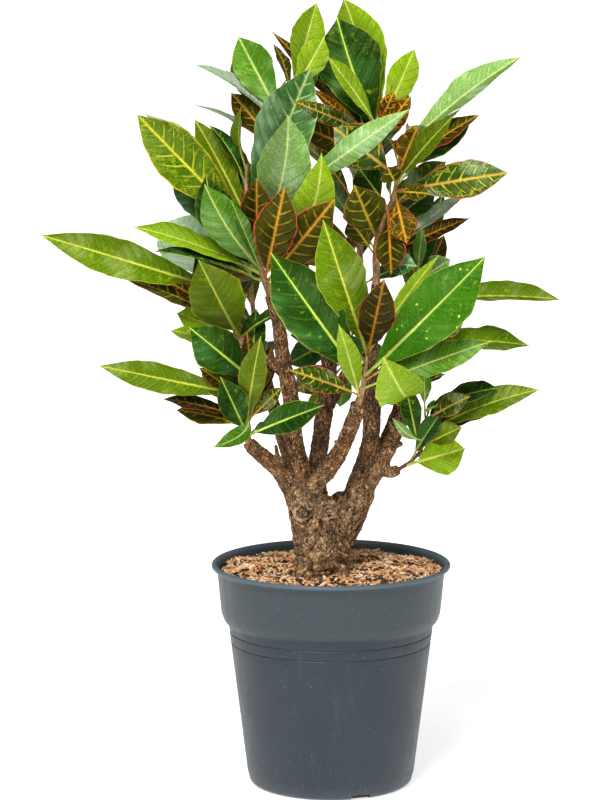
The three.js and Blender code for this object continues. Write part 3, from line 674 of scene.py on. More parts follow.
class Builder:
    """Gathers grids and tubes into one mesh, with values at its vertices."""

    def __init__(self, layers=(), values=()):
        self.vertices = []
        self.faces = []
        self.slots = []
        self.layers = {name: [] for name in layers}
        self.values = {name: [] for name in values}
        self.count = 0

    def add(self, vertices, faces, slot=0, **data):
        for block in faces:
            block = np.asarray(block) + self.count
            self.faces.extend(block.tolist())
            self.slots.extend([slot] * len(block))
        self.vertices.append(vertices)
        size = len(vertices)
        self.count += size
        for name, blocks in self.layers.items():
            blocks.append(np.broadcast_to(data.get(name, (0, 0)), (size, 2)))
        for name, blocks in self.values.items():
            blocks.append(np.broadcast_to(data.get(name, 0), (size,)))

    def mesh(self, name, materials, sharp_degrees=50):
        mesh = bpy.data.meshes.new(name)
        places = np.vstack(self.vertices) * MM
        mesh.from_pydata(places.tolist(), [], self.faces)
        for material in materials:
            mesh.materials.append(material)
        mesh.polygons.foreach_set("material_index", self.slots)
        corners = np.empty(len(mesh.loops), int)
        mesh.loops.foreach_get("vertex_index", corners)
        for layer, blocks in self.layers.items():
            flat = np.vstack(blocks)[corners].ravel()
            mesh.uv_layers.new(name=layer).data.foreach_set("uv", flat)
        for value, blocks in self.values.items():
            attribute = mesh.attributes.new(value, "FLOAT", "POINT")
            attribute.data.foreach_set("value", np.concatenate(blocks).astype(float))
        smooth_but_sharp(mesh, sharp_degrees)
        mesh.update()
        return mesh


def smooth_but_sharp(mesh, degrees):
    mesh.shade_smooth()
    mesh.set_sharp_from_angle(angle=math.radians(degrees))


def after_modifiers(thing, name):
    """The mesh that a helper object's modifiers leave, without the helper."""
    evaluated = thing.evaluated_get(bpy.context.evaluated_depsgraph_get())
    mesh = bpy.data.meshes.new_from_object(evaluated)
    mesh.name = name
    bpy.data.objects.remove(thing)
    return mesh


def make_piece(mesh, node):
    piece = add_object(mesh.name, mesh)
    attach(piece, "root")
    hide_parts(node)


# Materials

def linear(colour):
    """A colour written as #rrggbb, as the linear values that shaders use."""
    shares = [int(colour[k:k + 2], 16) / 255 for k in (1, 3, 5)]
    curve = [s / 12.92 if s <= 0.04045 else ((s + 0.055) / 1.055) ** 2.4 for s in shares]
    return (*curve, 1)


class Shading:
    """Builds the nodes of one material, a short call for each."""

    def __init__(self, name):
        self.material = bpy.data.materials.new(name)
        self.material.use_nodes = True
        self.tree = self.material.node_tree
        self.shader = self.tree.nodes["Principled BSDF"]

    def put(self, socket, value):
        if isinstance(value, bpy.types.NodeSocket):
            self.tree.links.new(value, socket)
        elif isinstance(value, str):
            socket.default_value = linear(value)
        else:
            socket.default_value = value

    def node(self, kind, inputs=None, **settings):
        node = self.tree.nodes.new("ShaderNode" + kind)
        for name, value in settings.items():
            setattr(node, name, value)
        for name, value in (inputs or {}).items():
            self.put(node.inputs[name], value)
        return node

    def math(self, operation, *values):
        node = self.node("Math", operation=operation)
        for socket, value in zip(node.inputs, values):
            self.put(socket, value)
        return node.outputs[0]

    def times(self, product, *factors):
        for factor in factors:
            product = self.math("MULTIPLY", product, factor)
        return product

    def plus(self, a, b):
        return self.math("ADD", a, b)

    def minus(self, a, b):
        return self.math("SUBTRACT", a, b)

    def split(self, vector):
        return self.node("SeparateXYZ", {0: vector}).outputs[:3]

    def combine(self, x, y, z):
        return self.node("CombineXYZ", {0: x, 1: y, 2: z}).outputs[0]

    def uv(self, name):
        return self.split(self.node("UVMap", uv_map=name).outputs[0])[:2]

    def value(self, name):
        return self.node("Attribute", attribute_name=name).outputs["Fac"]

    def place(self):
        return self.node("TexCoord").outputs["Object"]

    def scaled(self, vector, scale, offset=(0, 0, 0)):
        node = self.node("Mapping", {"Vector": vector, "Scale": scale, "Location": offset})
        return node.outputs[0]

    def noise(self, vector, scale, detail=3.0, rough=0.55, output=0):
        node = self.node("TexNoise", {"Vector": vector, "Scale": scale, "Detail": detail,
                                      "Roughness": rough})
        return node.outputs[output]

    def cells(self, vector, scale, feature="F1"):
        node = self.node("TexVoronoi", {"Vector": vector, "Scale": scale}, feature=feature)
        return node.outputs["Distance"]

    def between(self, value, low, high, first=0.0, last=1.0):
        """A smooth step from first to last as the value goes from low to high."""
        node = self.node("MapRange", {"Value": value, "From Min": low, "From Max": high,
                                      "To Min": first, "To Max": last})
        node.interpolation_type = "SMOOTHSTEP"
        return node.outputs[0]

    def fade(self, value, low, high, first=1.0):
        return self.between(value, low, high, first, 0.0)

    def blend(self, share, a, b, kind="MIX"):
        node = self.node("Mix", data_type="RGBA", blend_type=kind)
        self.put(node.inputs[0], share)
        self.put(node.inputs[6], a)
        self.put(node.inputs[7], b)
        return node.outputs[2]

    def coats(self, colour, *coats):
        """The colour under coats, each of which shows as its value goes from low to high."""
        for value, low, high, coat, *ends in coats:
            colour = self.blend(self.between(value, low, high, *ends), colour, coat)
        return colour

    def shaded(self, colour, tone_and_painted_shade):
        return self.blend(1.0, colour, self.combine(tone_and_painted_shade, tone_and_painted_shade, tone_and_painted_shade), "MULTIPLY")

    def bump(self, height, distance, strength):
        inputs = {"Height": height, "Distance": distance, "Strength": strength}
        return self.node("Bump", inputs).outputs[0]

    def finish(self, **inputs):
        for name, value in inputs.items():
            self.put(self.shader.inputs[name.replace("_", " ")], value)
        return self.material


def leaf_veins(s, run, off_rib, right_half, margin, place, medium, loop_strength):
    """How far each place is from the nearest lateral, the laterals and loops, and the fine net."""
    slope = s.times(off_rib, VEIN_SLOPE)
    curve = s.times(off_rib, off_rib, VEIN_CURVE)
    lined = s.minus(s.minus(run, slope), curve)
    wobble = s.times(s.minus(medium, 0.5), 0.05)
    phase = s.math("DIVIDE", s.plus(lined, wobble), VEIN_SPACING)
    phase = s.plus(phase, s.times(right_half, VEIN_STAGGER))
    nearest = s.math("PINGPONG", phase, 0.5)
    vein_width = s.between(margin, 0.0, 1.0, 0.15, 0.05)
    vein = s.fade(s.math("DIVIDE", nearest, vein_width), 0.25, 1.0)
    vein = s.times(vein, s.fade(margin, 0.62, 0.84))
    bend = s.noise(place, 6.0, 1.0, 0.5, "Color")
    bent = s.node("VectorMath", {0: bend, 1: (0.16, 0.16, 0.0)}, operation="MULTIPLY").outputs[0]
    bent = s.node("VectorMath", {0: place, 1: bent}).outputs[0]
    loops = s.times(s.fade(s.cells(bent, 5.6, "DISTANCE_TO_EDGE"), 0.03, 0.075),
                    s.between(margin, 0.42, 0.62), s.fade(margin, 0.86, 0.95, loop_strength))
    net = s.fade(s.cells(place, 17.0, "DISTANCE_TO_EDGE"), 0.02, 0.09)
    return nearest, s.math("MAXIMUM", vein, loops), net


def leaf_material(kind):
    look = KINDS[kind]
    s = Shading("leaf_" + kind)
    tone = s.value("tone")
    under = s.value("under")
    along, across = s.uv("blade")
    run, level = s.uv("veins")
    signed = s.minus(across, 0.5)
    margin = s.times(s.math("ABSOLUTE", signed), 2.0)
    right_half = s.math("GREATER_THAN", signed, 0.0)
    off_rib = s.math("ABSOLUTE", s.minus(level, 0.5))
    place = s.combine(s.plus(run, s.times(tone, 31.0)), level, s.times(tone, 7.0))
    coarse = s.noise(place, 2.2, 2.0)
    medium = s.noise(place, 7.0, 3.0)
    fine = s.noise(place, 34.0, 4.0, 0.65)
    nearest, vein, net = leaf_veins(s, run, off_rib, right_half, margin, place, medium,
                                    look["loops"])

    ground, second_ground = look["ground"]
    blotch_colour, blotch_share = look["blotch"]
    net_colour, net_strength = look["net"]
    vein_colour, vein_strength = look["vein"]
    edge_colour, edge_width = look["edge"]
    painted_sheen_colour, painted_sheen_strength = look["painted_sheen"]

    colour = s.coats(ground, (coarse, 0.35, 0.65, second_ground),
                     (fine, 0.3, 0.75, ground, 0.0, 0.35))
    patch = s.between(medium, 0.62 - blotch_share * 0.35, 0.74 - blotch_share * 0.35)
    patch = s.times(patch, s.between(margin, 0.15, 0.95, 1.0, 0.25), 0.8)
    colour = s.blend(patch, colour, blotch_colour)
    broken = s.between(coarse, 0.3, 0.6, 0.35, 1.0)
    colour = s.blend(s.times(net, broken, net_strength), colour, net_colour)
    least = mix(0.8, 0.1, vein_strength)
    uneven = s.between(s.noise(place, 4.0, 1.0), 0.38, 0.56, least, 1.0)
    colour = s.blend(s.times(vein, uneven, vein_strength), colour, vein_colour)
    specked = s.between(s.noise(place, 3.4, 0.0), 0.56, 0.62)
    specks = s.times(s.fade(s.cells(place, 11.0), 0.09, 0.15), specked, 0.35)
    colour = s.blend(specks, colour, look["speck"])
    if "dots" in look:
        dotted = s.between(s.noise(place, 3.1, 0.0), 0.5, 0.56)
        dots = s.times(s.fade(s.cells(place, 6.5), 0.1, 0.16), dotted)
        colour = s.blend(dots, colour, look["dots"])
    ragged = s.plus(margin, s.times(s.minus(medium, 0.5), 0.1))
    rim = s.times(s.between(ragged, 1.0 - 2 * edge_width, 1.0 - edge_width), 0.9)
    colour = s.blend(rim, colour, edge_colour)
    # Painted sheen: a pale reflection painted over patches of the blade, strongest on the quilted
    # pillows between the veins.
    painted_sheen_mask = s.noise(s.scaled(place, (1, 1, 1), (3.7, 1.9, 0)), 1.5, 1.0, 0.4)
    painted_sheen_mask = s.times(s.between(painted_sheen_mask, 0.46, 0.62, 0.0, painted_sheen_strength),
                    s.between(nearest, 0.04, 0.36, 0.45, 1.0))
    colour = s.blend(painted_sheen_mask, colour, painted_sheen_colour)
    rib_width = s.between(along, 0.0, 1.0, 0.034, 0.012)
    rib_line = s.fade(s.math("DIVIDE", off_rib, rib_width), 0.55, 1.0)
    colour = s.blend(s.fade(off_rib, 0.0, 0.06, 0.5), colour, vein_colour)
    colour = s.blend(rib_line, colour, look["rib"])
    # Random tone and mottling, with painted shade in the valleys along the veins, and one half of
    # the blade painted lighter and the other darker, as if lit from one side.
    tone_and_painted_shade = s.times(s.between(tone, -1.0, 1.0, 0.76, 1.07),
                    s.between(fine, 0.3, 0.7, 0.72, 1.22),
                    s.between(coarse, 0.3, 0.7, 0.84, 1.12),
                    s.between(nearest, 0.0, 0.45, 0.94, 1.04),
                    s.between(s.times(signed, tone), -0.4, 0.4, 0.78, 1.2))
    colour = s.shaded(colour, tone_and_painted_shade)

    below = s.coats(look["under"], (coarse, 0.35, 0.65, ground, 0.0, 0.5))
    below = s.blend(s.times(vein, 0.35), below, look["rib"])
    colour = s.blend(under, colour, below)
    stem = s.coats(look["rib"], (along, 0.0, 0.25, look["under"], 0.55, 0.1))
    colour = s.blend(s.value("rib"), colour, stem)

    height = s.plus(s.times(s.between(nearest, 0.0, 0.32), 0.7), s.times(fine, 0.05))
    height = s.minus(height, s.times(net, 0.05))
    rough = s.plus(s.between(fine, 0.3, 0.7, 0.33, 0.45), s.times(under, 0.2))
    return s.finish(Base_Color=colour, Roughness=rough, Normal=s.bump(height, 0.0011, 0.9),
                    Specular_IOR_Level=0.27, Specular_Tint="#ecff78")


def twig_material(name, dark, light):
    s = Shading(name)
    place = s.place()
    mottled = s.noise(s.scaled(place, (1, 1, 0.35)), 160, 4.0, 0.6)
    scars = s.fade(s.cells(place, 95, "DISTANCE_TO_EDGE"), 0.03, 0.12)
    colour = s.coats(dark, (mottled, 0.35, 0.65, light),
                     (s.noise(place, 30, 2.0), 0.56, 0.74, "#6c6e38"))
    colour = s.blend(s.times(scars, 0.35), colour, "#3a261a")
    height = s.minus(mottled, s.times(scars, 0.4))
    return s.finish(Base_Color=colour, Roughness=0.7, Normal=s.bump(height, 0.0012, 0.8))


def bark_material():
    s = Shading("bark")
    place = s.place()
    grain = s.node("Attribute", attribute_name="grain").outputs["Vector"]
    relief = s.value("relief")
    _, depth, height_above = s.split(place)
    waver = s.times(s.minus(s.noise(place, 22, 2.0), 0.5), 0.08)
    young = s.between(s.plus(height_above, waver), 0.325, 0.385)
    strands = s.noise(s.scaled(grain, (1, 1, 0.3)), 400, 5.0, 0.75)
    plates = s.noise(s.scaled(grain, (1, 1, 0.5)), 300, 6.0, 0.78)
    specks = s.noise(s.scaled(grain, (1, 1, 0.6)), 620, 3.0, 0.7)
    broad = s.noise(place, 34, 3.0, 0.5)
    old = s.coats("#4c3422", (plates, 0.42, 0.56, "#a87c52"), (plates, 0.54, 0.64, "#e0b890"),
                  (broad, 0.45, 0.66, "#7a5638", 0.0, 0.45))
    fresh = s.coats("#4a2c14", (strands, 0.42, 0.56, "#946238"), (strands, 0.55, 0.66, "#cc9a68"),
                    (broad, 0.45, 0.68, "#5e3c1e", 0.0, 0.4))
    # Painted shade and highlight: the hollows of the relief are painted dark and its ridges
    # painted with a pale highlight, over the bark's own colours and specks.
    colour = s.coats(s.blend(young, old, fresh), (specks, 0.34, 0.43, "#2c1c0e", 0.9, 0.0),
                     (specks, 0.56, 0.63, "#ecd0a8", 0.0, 0.85),
                     (relief, -0.9, -0.1, "#24160a", 0.85, 0.0),
                     (relief, 0.15, 0.8, "#e8c8a0", 0.0, 0.7))
    moss = s.between(s.noise(place, 60, 3.0, 0.6), 0.64, 0.76, 0.0, 0.2)
    colour = s.blend(s.times(moss, s.minus(1.0, young)), colour, "#66602a")
    worn = s.between(s.noise(s.scaled(grain, (1, 1, 0.6)), 120, 3.0, 0.6), 0.38, 0.62, 0.66, 1.38)
    # Painted shade: above the crotch, the bark towards the back is painted darker, as shade among
    # the limbs.
    inner = s.times(s.between(depth, -0.012, 0.018), s.between(height_above, 0.325, 0.35))
    colour = s.shaded(colour, s.times(worn, s.between(inner, 0.0, 1.0, 1.0, 0.62)))
    height = s.plus(s.blend(young, plates, strands), s.times(specks, 0.5))
    rough = s.between(plates, 0.3, 0.7, 0.72, 0.92)
    return s.finish(Base_Color=colour, Roughness=rough, Normal=s.bump(height, 0.005, 1.0),
                    Specular_IOR_Level=0.2)


def soil_bed_material():
    s = Shading("soil_bed")
    place = s.place()
    crumbs = s.noise(place, 260, 5.0, 0.7)
    colour = s.coats("#24160c", (crumbs, 0.35, 0.65, "#5e3e26"),
                     (s.noise(place, 520, 2.0), 0.58, 0.68, "#a87850", 0.0, 0.8))
    return s.finish(Base_Color=colour, Roughness=0.95, Normal=s.bump(crumbs, 0.003, 1.0))


def chip_material():
    s = Shading("soil_chips")
    tone = s.value("tone")
    grain = s.noise(s.place(), 700, 3.0, 0.7)
    colour = s.coats("#5c3216", (tone, 0.0, 0.2, "#b06c38"), (tone, 0.25, 0.5, "#eca468"),
                     (tone, 0.5, 0.85, "#ffe6ba"))
    colour = s.blend(s.times(s.value("dry"), 0.4), colour, "#f4c09c")
    # Darker grain, then painted shade on the low parts of each chip.
    colour = s.coats(colour, (grain, 0.3, 0.55, "#5a3418", 0.5, 0.0),
                     (s.value("bared"), 0.1, 0.65, "#241208", 0.92, 0.0))
    return s.finish(Base_Color=colour, Roughness=0.9, Normal=s.bump(grain, 0.0008, 0.8))


def pot_material():
    s = Shading("pot_plastic")
    place = s.place()
    height_above = s.split(place)[2]
    cloudy = s.noise(place, 14, 4.0, 0.6)
    film = s.noise(s.scaled(place, (1, 1, 0.3)), 90, 4.0, 0.7)
    # The collar is lighter than the body, a faint pale film lies over it, and a painted highlight
    # runs round the top of the lip.
    colour = s.coats("#252e36", (cloudy, 0.35, 0.65, "#29333a"),
                     (height_above, 0.184, 0.195, "#374245", 0.0, 0.8),
                     (film, 0.5, 0.75, "#6c7a80", 0.0, 0.07),
                     (height_above, 0.2485, 0.2515, "#5c6e7a", 0.0, 0.6))
    cell = s.node("TexVoronoi", {"Vector": place, "Scale": 330.0}).outputs
    speck = s.times(s.between(s.split(cell["Color"])[0], 0.9, 0.93),
                    s.fade(cell["Distance"], 0.1, 0.2), 0.6)
    colour = s.blend(speck, colour, "#8c969a")
    dust = s.times(s.fade(height_above, 0.0, 0.02, 0.25), cloudy)
    colour = s.blend(dust, colour, "#7d8388")
    height = s.plus(s.times(s.noise(place, 1500, 2.0, 0.6), 0.3), cloudy)
    rough = s.between(film, 0.3, 0.7, 0.4, 0.52)
    return s.finish(Base_Color=colour, Roughness=rough, Normal=s.bump(height, 0.0006, 0.25),
                    Specular_IOR_Level=0.35)


def floor_material():
    s = Shading("floor")
    colour = s.blend(s.noise(s.place(), 3, 2.0), "#f9f9f9", "#fbfbfb")
    return s.finish(Base_Color=colour, Roughness=0.9, Specular_IOR_Level=0.1,
                    Emission_Color="#ffffff", Emission_Strength=FLOOR_GLOW)


# Leaves and shoots

class Leaf:
    """The bent line of one leaf from its root to its tip, and how its face is turned."""

    def __init__(self, root, plan):
        _, *tip, self.width, turn, self.arch, self.sweep, _ = plan
        self.root = root
        self.chord = np.array(tip, float) - root
        self.length = np.linalg.norm(self.chord)
        self.direction = self.chord / self.length
        facing = unit(TO_VIEWER - self.direction * (self.direction @ TO_VIEWER))
        skyward = np.cross(facing, self.direction)
        if skyward[2] < 0:
            skyward = -skyward
        angle = math.radians(turn)
        self.normal = facing * math.cos(angle) + skyward * math.sin(angle)
        self.side = np.cross(self.normal, self.direction)
        self.stalk = min(STALK_LENGTH / self.length, LONGEST_STALK_SHARE)

    def bent(self, amount):
        return self.normal * self.arch * amount + self.side * self.sweep * amount

    def midline(self, a):
        return self.root + self.chord * a + self.bent(4 * a * (1 - a) * self.length)

    def frames(self, a):
        """The directions out of the leaf's face and to its right, at shares a of its line."""
        tangent = unit(self.direction + self.bent(4 * (1 - 2 * a)))
        lift = unit(self.normal - tangent * dot(self.normal, tangent))
        return lift, np.cross(lift, tangent)


def blade_half_width(blade, width):
    power = mix(*FULLNESS_POWERS, blade**2)
    oval = 0.5 * width * np.sin(math.pi * blade**WIDEST_POWER).clip(0) ** power
    return np.maximum(oval, mix(BASE_HALF_WIDTH, TIP_HALF_WIDTH, blade))


def blade_faces(rows, columns):
    """Triangles of the blade's face, the same ones under it, and quads round its rim."""
    size = rows * columns
    quads = grid_faces(rows, columns)
    face = np.vstack([quads[:, :3], quads[:, [0, 2, 3]]])
    border = np.concatenate([
        np.arange(rows) * columns,
        (rows - 1) * columns + np.arange(1, columns),
        np.arange(rows - 2, -1, -1) * columns + columns - 1,
        np.arange(columns - 2, 0, -1),
    ])
    ahead = np.roll(border, -1)
    rim = np.stack([ahead, border, border + size, ahead + size], axis=1)
    return [face, face[:, ::-1] + size, rim]


def add_blade(builder, leaf, index, rng, slot):
    """The blade: folded along its midrib, waved, rippled at its edges and quilted by its veins."""
    width, stalk = leaf.width, leaf.stalk
    rows = int(np.clip(leaf.length / ROW_STEP, *ROW_LIMITS))
    columns = 13 if width > WIDE_LEAF else 9
    steps = np.linspace(0, 1, rows)
    blade = mix(steps, 0.5 - 0.5 * np.cos(math.pi * steps), 0.5)[:, None]
    a = stalk + (1 - stalk) * blade
    v = np.linspace(-1, 1, columns)[None, :]
    spread = np.abs(v)

    notches = rng.uniform(0, 1, (2, 3))
    uneven = [sum(size * np.sin(2 * math.pi * (rate * blade + shift)) for size, rate, shift in
                  zip(UNEVEN_SIZES, UNEVEN_RATES, row)) for row in notches]
    half = blade_half_width(blade, width)
    half = half * (1 + np.where(v > 0, uneven[0], uneven[1]) * np.sin(math.pi * blade))
    twist = rng.uniform(-BLADE_TWIST, BLADE_TWIST) * (blade - 0.3)
    lift, right = rolled(*leaf.frames(a), twist)

    wave = BLADE_WAVE * np.sin(2 * math.pi * (WAVES_PER_LEAF * a + index * LEAF_PHASE))
    fold = BLADE_FOLD * rng.uniform(*FOLD_SHARES)
    curl = rng.uniform(*EDGE_CURL)
    ripples = rng.uniform(*RIPPLES_PER_LEAF)
    ripple_share = rng.uniform(*RIPPLE_SHARES)
    shift = rng.uniform(0, 1, 2)
    ripple = np.where(v > 0, *(np.sin(2 * math.pi * (ripples * a + part)) for part in shift))
    vein_scale = math.sqrt(width * VEIN_UNIT)
    run = (a - stalk) * leaf.length / vein_scale
    out = spread * half / vein_scale
    lined = (run - VEIN_SLOPE * out - VEIN_CURVE * out**2) / VEIN_SPACING + VEIN_STAGGER * (v > 0)
    quilt = -np.cos(2 * math.pi * lined) * QUILT_SHARE * width
    quilt = quilt * np.sin(math.pi * spread**0.9) * (half * 2 / width)
    profile = math.sin(fold) * spread * (1.6 - 0.6 * spread) + curl * spread**2.5
    rise = half * (profile + wave * v + ripple_share * ripple * spread**3) + quilt
    top = (leaf.midline(a)[:, None] + right[:, None] * (v * half * math.cos(fold))[..., None]
           + lift[:, None] * rise[..., None])
    below = top - lift[:, None] * BLADE_THICKNESS

    tone = rng.uniform(-1, 1)
    builder.add(np.vstack([top.reshape(-1, 3), below.reshape(-1, 3)]),
                blade_faces(rows, columns), slot,
                blade=np.tile(pairs(blade, (v + 1) / 2), (2, 1)),
                veins=np.tile(pairs(run, out * np.sign(v) + 0.5), (2, 1)),
                tone=tone, under=np.repeat([0.0, 1.0], rows * columns))
    return tone


def add_midrib(builder, leaf, tone, slot):
    """The stalk and the raised midrib that goes on from it, as one thin tube."""
    stalk = leaf.stalk
    reach = np.concatenate([np.linspace(0, stalk, 5), np.linspace(stalk, 0.96, 22)[1:]])[:, None]
    stoutness = np.clip(leaf.width / STOUT_WIDTH, *STOUTNESS_LIMITS)
    radii = np.interp(reach[:, 0], [0, stalk, 1], STALK_RADII) * stoutness
    lift, _ = leaf.frames(reach)
    sink = np.where(reach < stalk * 0.8, *SINK_SHARES)
    spine = leaf.midline(reach) - lift * radii[:, None] * sink
    vertices, faces = tube(spine, radii, RIB_SIDES)
    share = ramp(reach, stalk, 1)
    builder.add(vertices, faces, slot, blade=np.repeat(pairs(share, 0.5), RIB_SIDES, axis=0),
                veins=(0.5, 0.5), tone=tone, rib=1.0)


def shoot_curve(branch, twig):
    """The branch and its twig as one line of points, and the share of it that is branch."""
    points = BRANCHES[branch][0] + twig
    return points, (len(BRANCHES[branch][0]) - 1) / (len(points) - 1)


def leaf_root(points, branch_end, share):
    held = min(max(share, LOWEST_LEAF), HIGHEST_LEAF)
    return curve_points(points, branch_end + (1 - branch_end) * held)[0]


def fan_rays(points, branch_end, count, middle, spread, rises=(0, 1)):
    """For each leaf of a fan: its number, share, swing and azimuth, its root and its direction."""
    start, gain = rises
    for k in range(count):
        share = (k + 0.5) / count
        swing = 2 * ((k * GOLDEN_SHARE) % 1) - 1
        azimuth = math.radians(middle + spread * swing)
        rise = math.radians(mix(*FAN_RISES, start + gain * share))
        yield k, share, swing, azimuth, leaf_root(points, branch_end, share), ray(azimuth, rise)


def fan_leaves(points, branch_end, count, middle, spread, reach):
    rays = fan_rays(points, branch_end, count, middle, spread)
    for k, share, swing, azimuth, root, ahead in rays:
        long = reach * (1 - FAN_SHORTENING * swing**2)
        yield (share, *(root + long * ahead), FAN_WIDTH * long, FAN_TURN * abs(math.cos(azimuth)),
               FAN_ARCH, 0, FAN_KINDS[(k * 4) % len(FAN_KINDS)])


def depth_leaves(points, branch_end, count, reach):
    """Leaves that point to the back, with their faces turned to the left and right in turn."""
    rays = fan_rays(points, branch_end, count, 90, DEPTH_SPREAD, DEPTH_RISES)
    for k, share, _, _, root, ahead in rays:
        yield (share, *(root + reach * ahead), DEPTH_WIDTH * reach, DEPTH_TURN * (-1) ** k,
               FAN_ARCH, 0, FAN_KINDS[(k * 5) % len(FAN_KINDS)])


def make_shoot(name, branch, twig, leaves, seed, materials):
    points, branch_end = shoot_curve(branch, twig)
    leaves = leaves + FILLERS.get(name, [])
    if name in DEPTH_LEAVES:
        leaves = leaves + list(depth_leaves(points, branch_end, *DEPTH_LEAVES[name]))
    kinds = sorted({leaf[-1] for leaf in leaves})
    builder = Builder(layers=("blade", "veins"), values=("tone", "under", "rib"))
    radii = mix(TWIG_RADIUS, TWIG_TIP_RADIUS, np.linspace(0, 1, TWIG_RINGS))
    stem = "twig"
    if name in YOUNG_SHOOTS:
        radii = radii * YOUNG_SHARE
        stem = "young_twig"
    lumpy = 1 + TWIG_LUMPS * np.sin(np.arange(TWIG_RINGS) * 2.1)
    path = curve_points(points, np.linspace(branch_end - TWIG_OVERLAP, 1, TWIG_RINGS))
    vertices, faces = tube(path, radii * lumpy, TWIG_SIDES)
    builder.add(vertices, faces, len(kinds))
    for index, plan in enumerate(leaves):
        rng = np.random.default_rng([seed, index])
        leaf = Leaf(leaf_root(points, branch_end, plan[0]), plan)
        slot = kinds.index(plan[-1])
        tone = add_blade(builder, leaf, index, rng, slot)
        add_midrib(builder, leaf, tone, slot)
    used = [materials[kind] for kind in (*kinds, stem)]
    make_piece(builder.mesh(name + "_leaves", used), name)


# Trunk

class Limbs:
    """The limbs of the trunk: their tubes, and the axis points that the bark's grain follows."""

    def __init__(self):
        self.builder = Builder()
        self.rows = []

    def add(self, path, radii, sides, wander):
        self.builder.add(*tube(path, radii, sides))
        steps = np.linalg.norm(np.diff(path, axis=0), axis=1)
        along = np.concatenate([[0], np.cumsum(steps)]) + wander
        self.rows.append(np.hstack([path, *frames_along(path), np.array(radii)[:, None],
                                    along[:, None]]))

    def grain(self, places):
        """Each place's two offsets from its nearest limb's axis and how far along it is, and the
        radius of that limb."""
        table = np.vstack(self.rows)
        centres, radii = table[:, :3], table[:, 12]
        blocks = np.array_split(places, len(places) // GRAIN_BLOCK + 1)
        nearest = np.concatenate([
            np.argmin(np.linalg.norm(block[:, None] - centres, axis=2) - radii, axis=1)
            for block in blocks])
        centre, ahead, across, outward, radius, along = np.split(
            table[nearest], [3, 6, 9, 12, 13], axis=1)
        offset = places - centre
        grain = np.hstack([dot(offset, across), dot(offset, outward), along + dot(offset, ahead)])
        return grain, radius[:, 0]


def rounded_end(path, radii):
    """The limb with a dome added on its end."""
    swing = np.linspace(0, 1, 7)[1:]
    ahead = unit(path[-1] - path[-2]) * radii[-1] * CAP_SHARE
    return (np.vstack([path, path[-1] + swing[:, None] * ahead]),
            np.concatenate([radii, radii[-1] * np.sqrt(1.02 - swing**2)]))


def add_limb(limbs, points, radii, sides, wander, shares=(0, 1), power=1.0, capped=False):
    coarse = curve_points(points, np.linspace(*shares, 40))
    rough_length = np.linalg.norm(np.diff(coarse, axis=0), axis=1).sum()
    ts = np.linspace(0, 1, max(6, int(rough_length / LIMB_STEP)))
    path = curve_points(points, mix(*shares, ts))
    thickness = mix(*radii, ts**power)
    if capped:
        path, thickness = rounded_end(path, thickness)
    limbs.add(path, thickness, sides, wander)


def roughen(mesh, limbs):
    """Pushes lumps, knots, wrinkles and cracks into the bark, and keeps its relief and grain."""
    places = np.empty(len(mesh.vertices) * 3)
    normals = np.empty_like(places)
    mesh.vertices.foreach_get("co", places)
    mesh.vertex_normals.foreach_get("vector", normals)
    places = places.reshape(-1, 3) / MM
    normals = normals.reshape(-1, 3)
    height = places[:, 2]
    grain, thickness = limbs.grain(places)
    old = ramp(height, *OLD_BARK_FADE)
    wrinkled = ramp(height, *WRINKLES_FADE) * ramp(height, *WRINKLES_START)

    lumps = noise_at(places, 19, 19)
    ridges = 0.45 - 2.4 * np.abs(noise_at(grain, 6, 15, 3.1))
    fine = noise_at(grain, 3, 6, 7.7)
    cracked = ramp(np.abs(noise_at(grain, 9, 26, 5.3)), 0.08, 0)
    blots = noise_at(places, 8, 8, 4.4)
    folds = np.abs(noise_at(places, 36, 10, 1.7))
    creases = 0.3 * blots - 0.75 * ramp(folds, 0.11, 0)
    scar = grain[:, 2] / SCAR_SPACING + 0.35 * noise_at(grain, 9, 9, 2.2)
    rings = np.clip(np.cos(2 * math.pi * scar), 0, 1) ** 6
    relief = ridges * mix(0.5, 1.5, old) + fine * mix(0.5, 0.9, old) - cracked * mix(0.4, 0.9, old)
    relief = mix(relief, creases * 2.6 + fine * 0.8, wrinkled * 0.85)
    relief += (1 - old) * rings * 0.55
    push = lumps * mix(0.8, 2.7, old) + wrinkled * np.minimum(folds * 9, 2.6)
    for middle, radius in KNOTS:
        middle = places[np.argmin(np.linalg.norm(places - np.array(middle), axis=1))]
        away = np.linalg.norm(places - middle, axis=1) / radius
        push += ramp(away, 1, 0) ** 0.6 * KNOT_RISE - ramp(away, 0.3, 0) * KNOT_HOLLOW
        bent = away + 0.3 * lumps + 0.28 * blots
        swirl = np.sin(bent * 2 * math.pi * KNOT_RINGS) * (0.75 + 0.8 * blots)
        relief = mix(relief, swirl * 1.5 + fine * 0.9, np.clip(2.2 - 1.9 * away, 0, 1))
    push = (push + relief) * np.clip(thickness / FULL_RELIEF_RADIUS, 0.25, 1)
    mesh.vertices.foreach_set("co", ((places + normals * push[:, None]) * MM).ravel())
    attribute = mesh.attributes.new("relief", "FLOAT", "POINT")
    attribute.data.foreach_set("value", np.clip(relief / 1.6, -1, 1))
    attribute = mesh.attributes.new("grain", "FLOAT_VECTOR", "POINT")
    attribute.data.foreach_set("vector", (grain * MM).ravel())
    mesh.update()


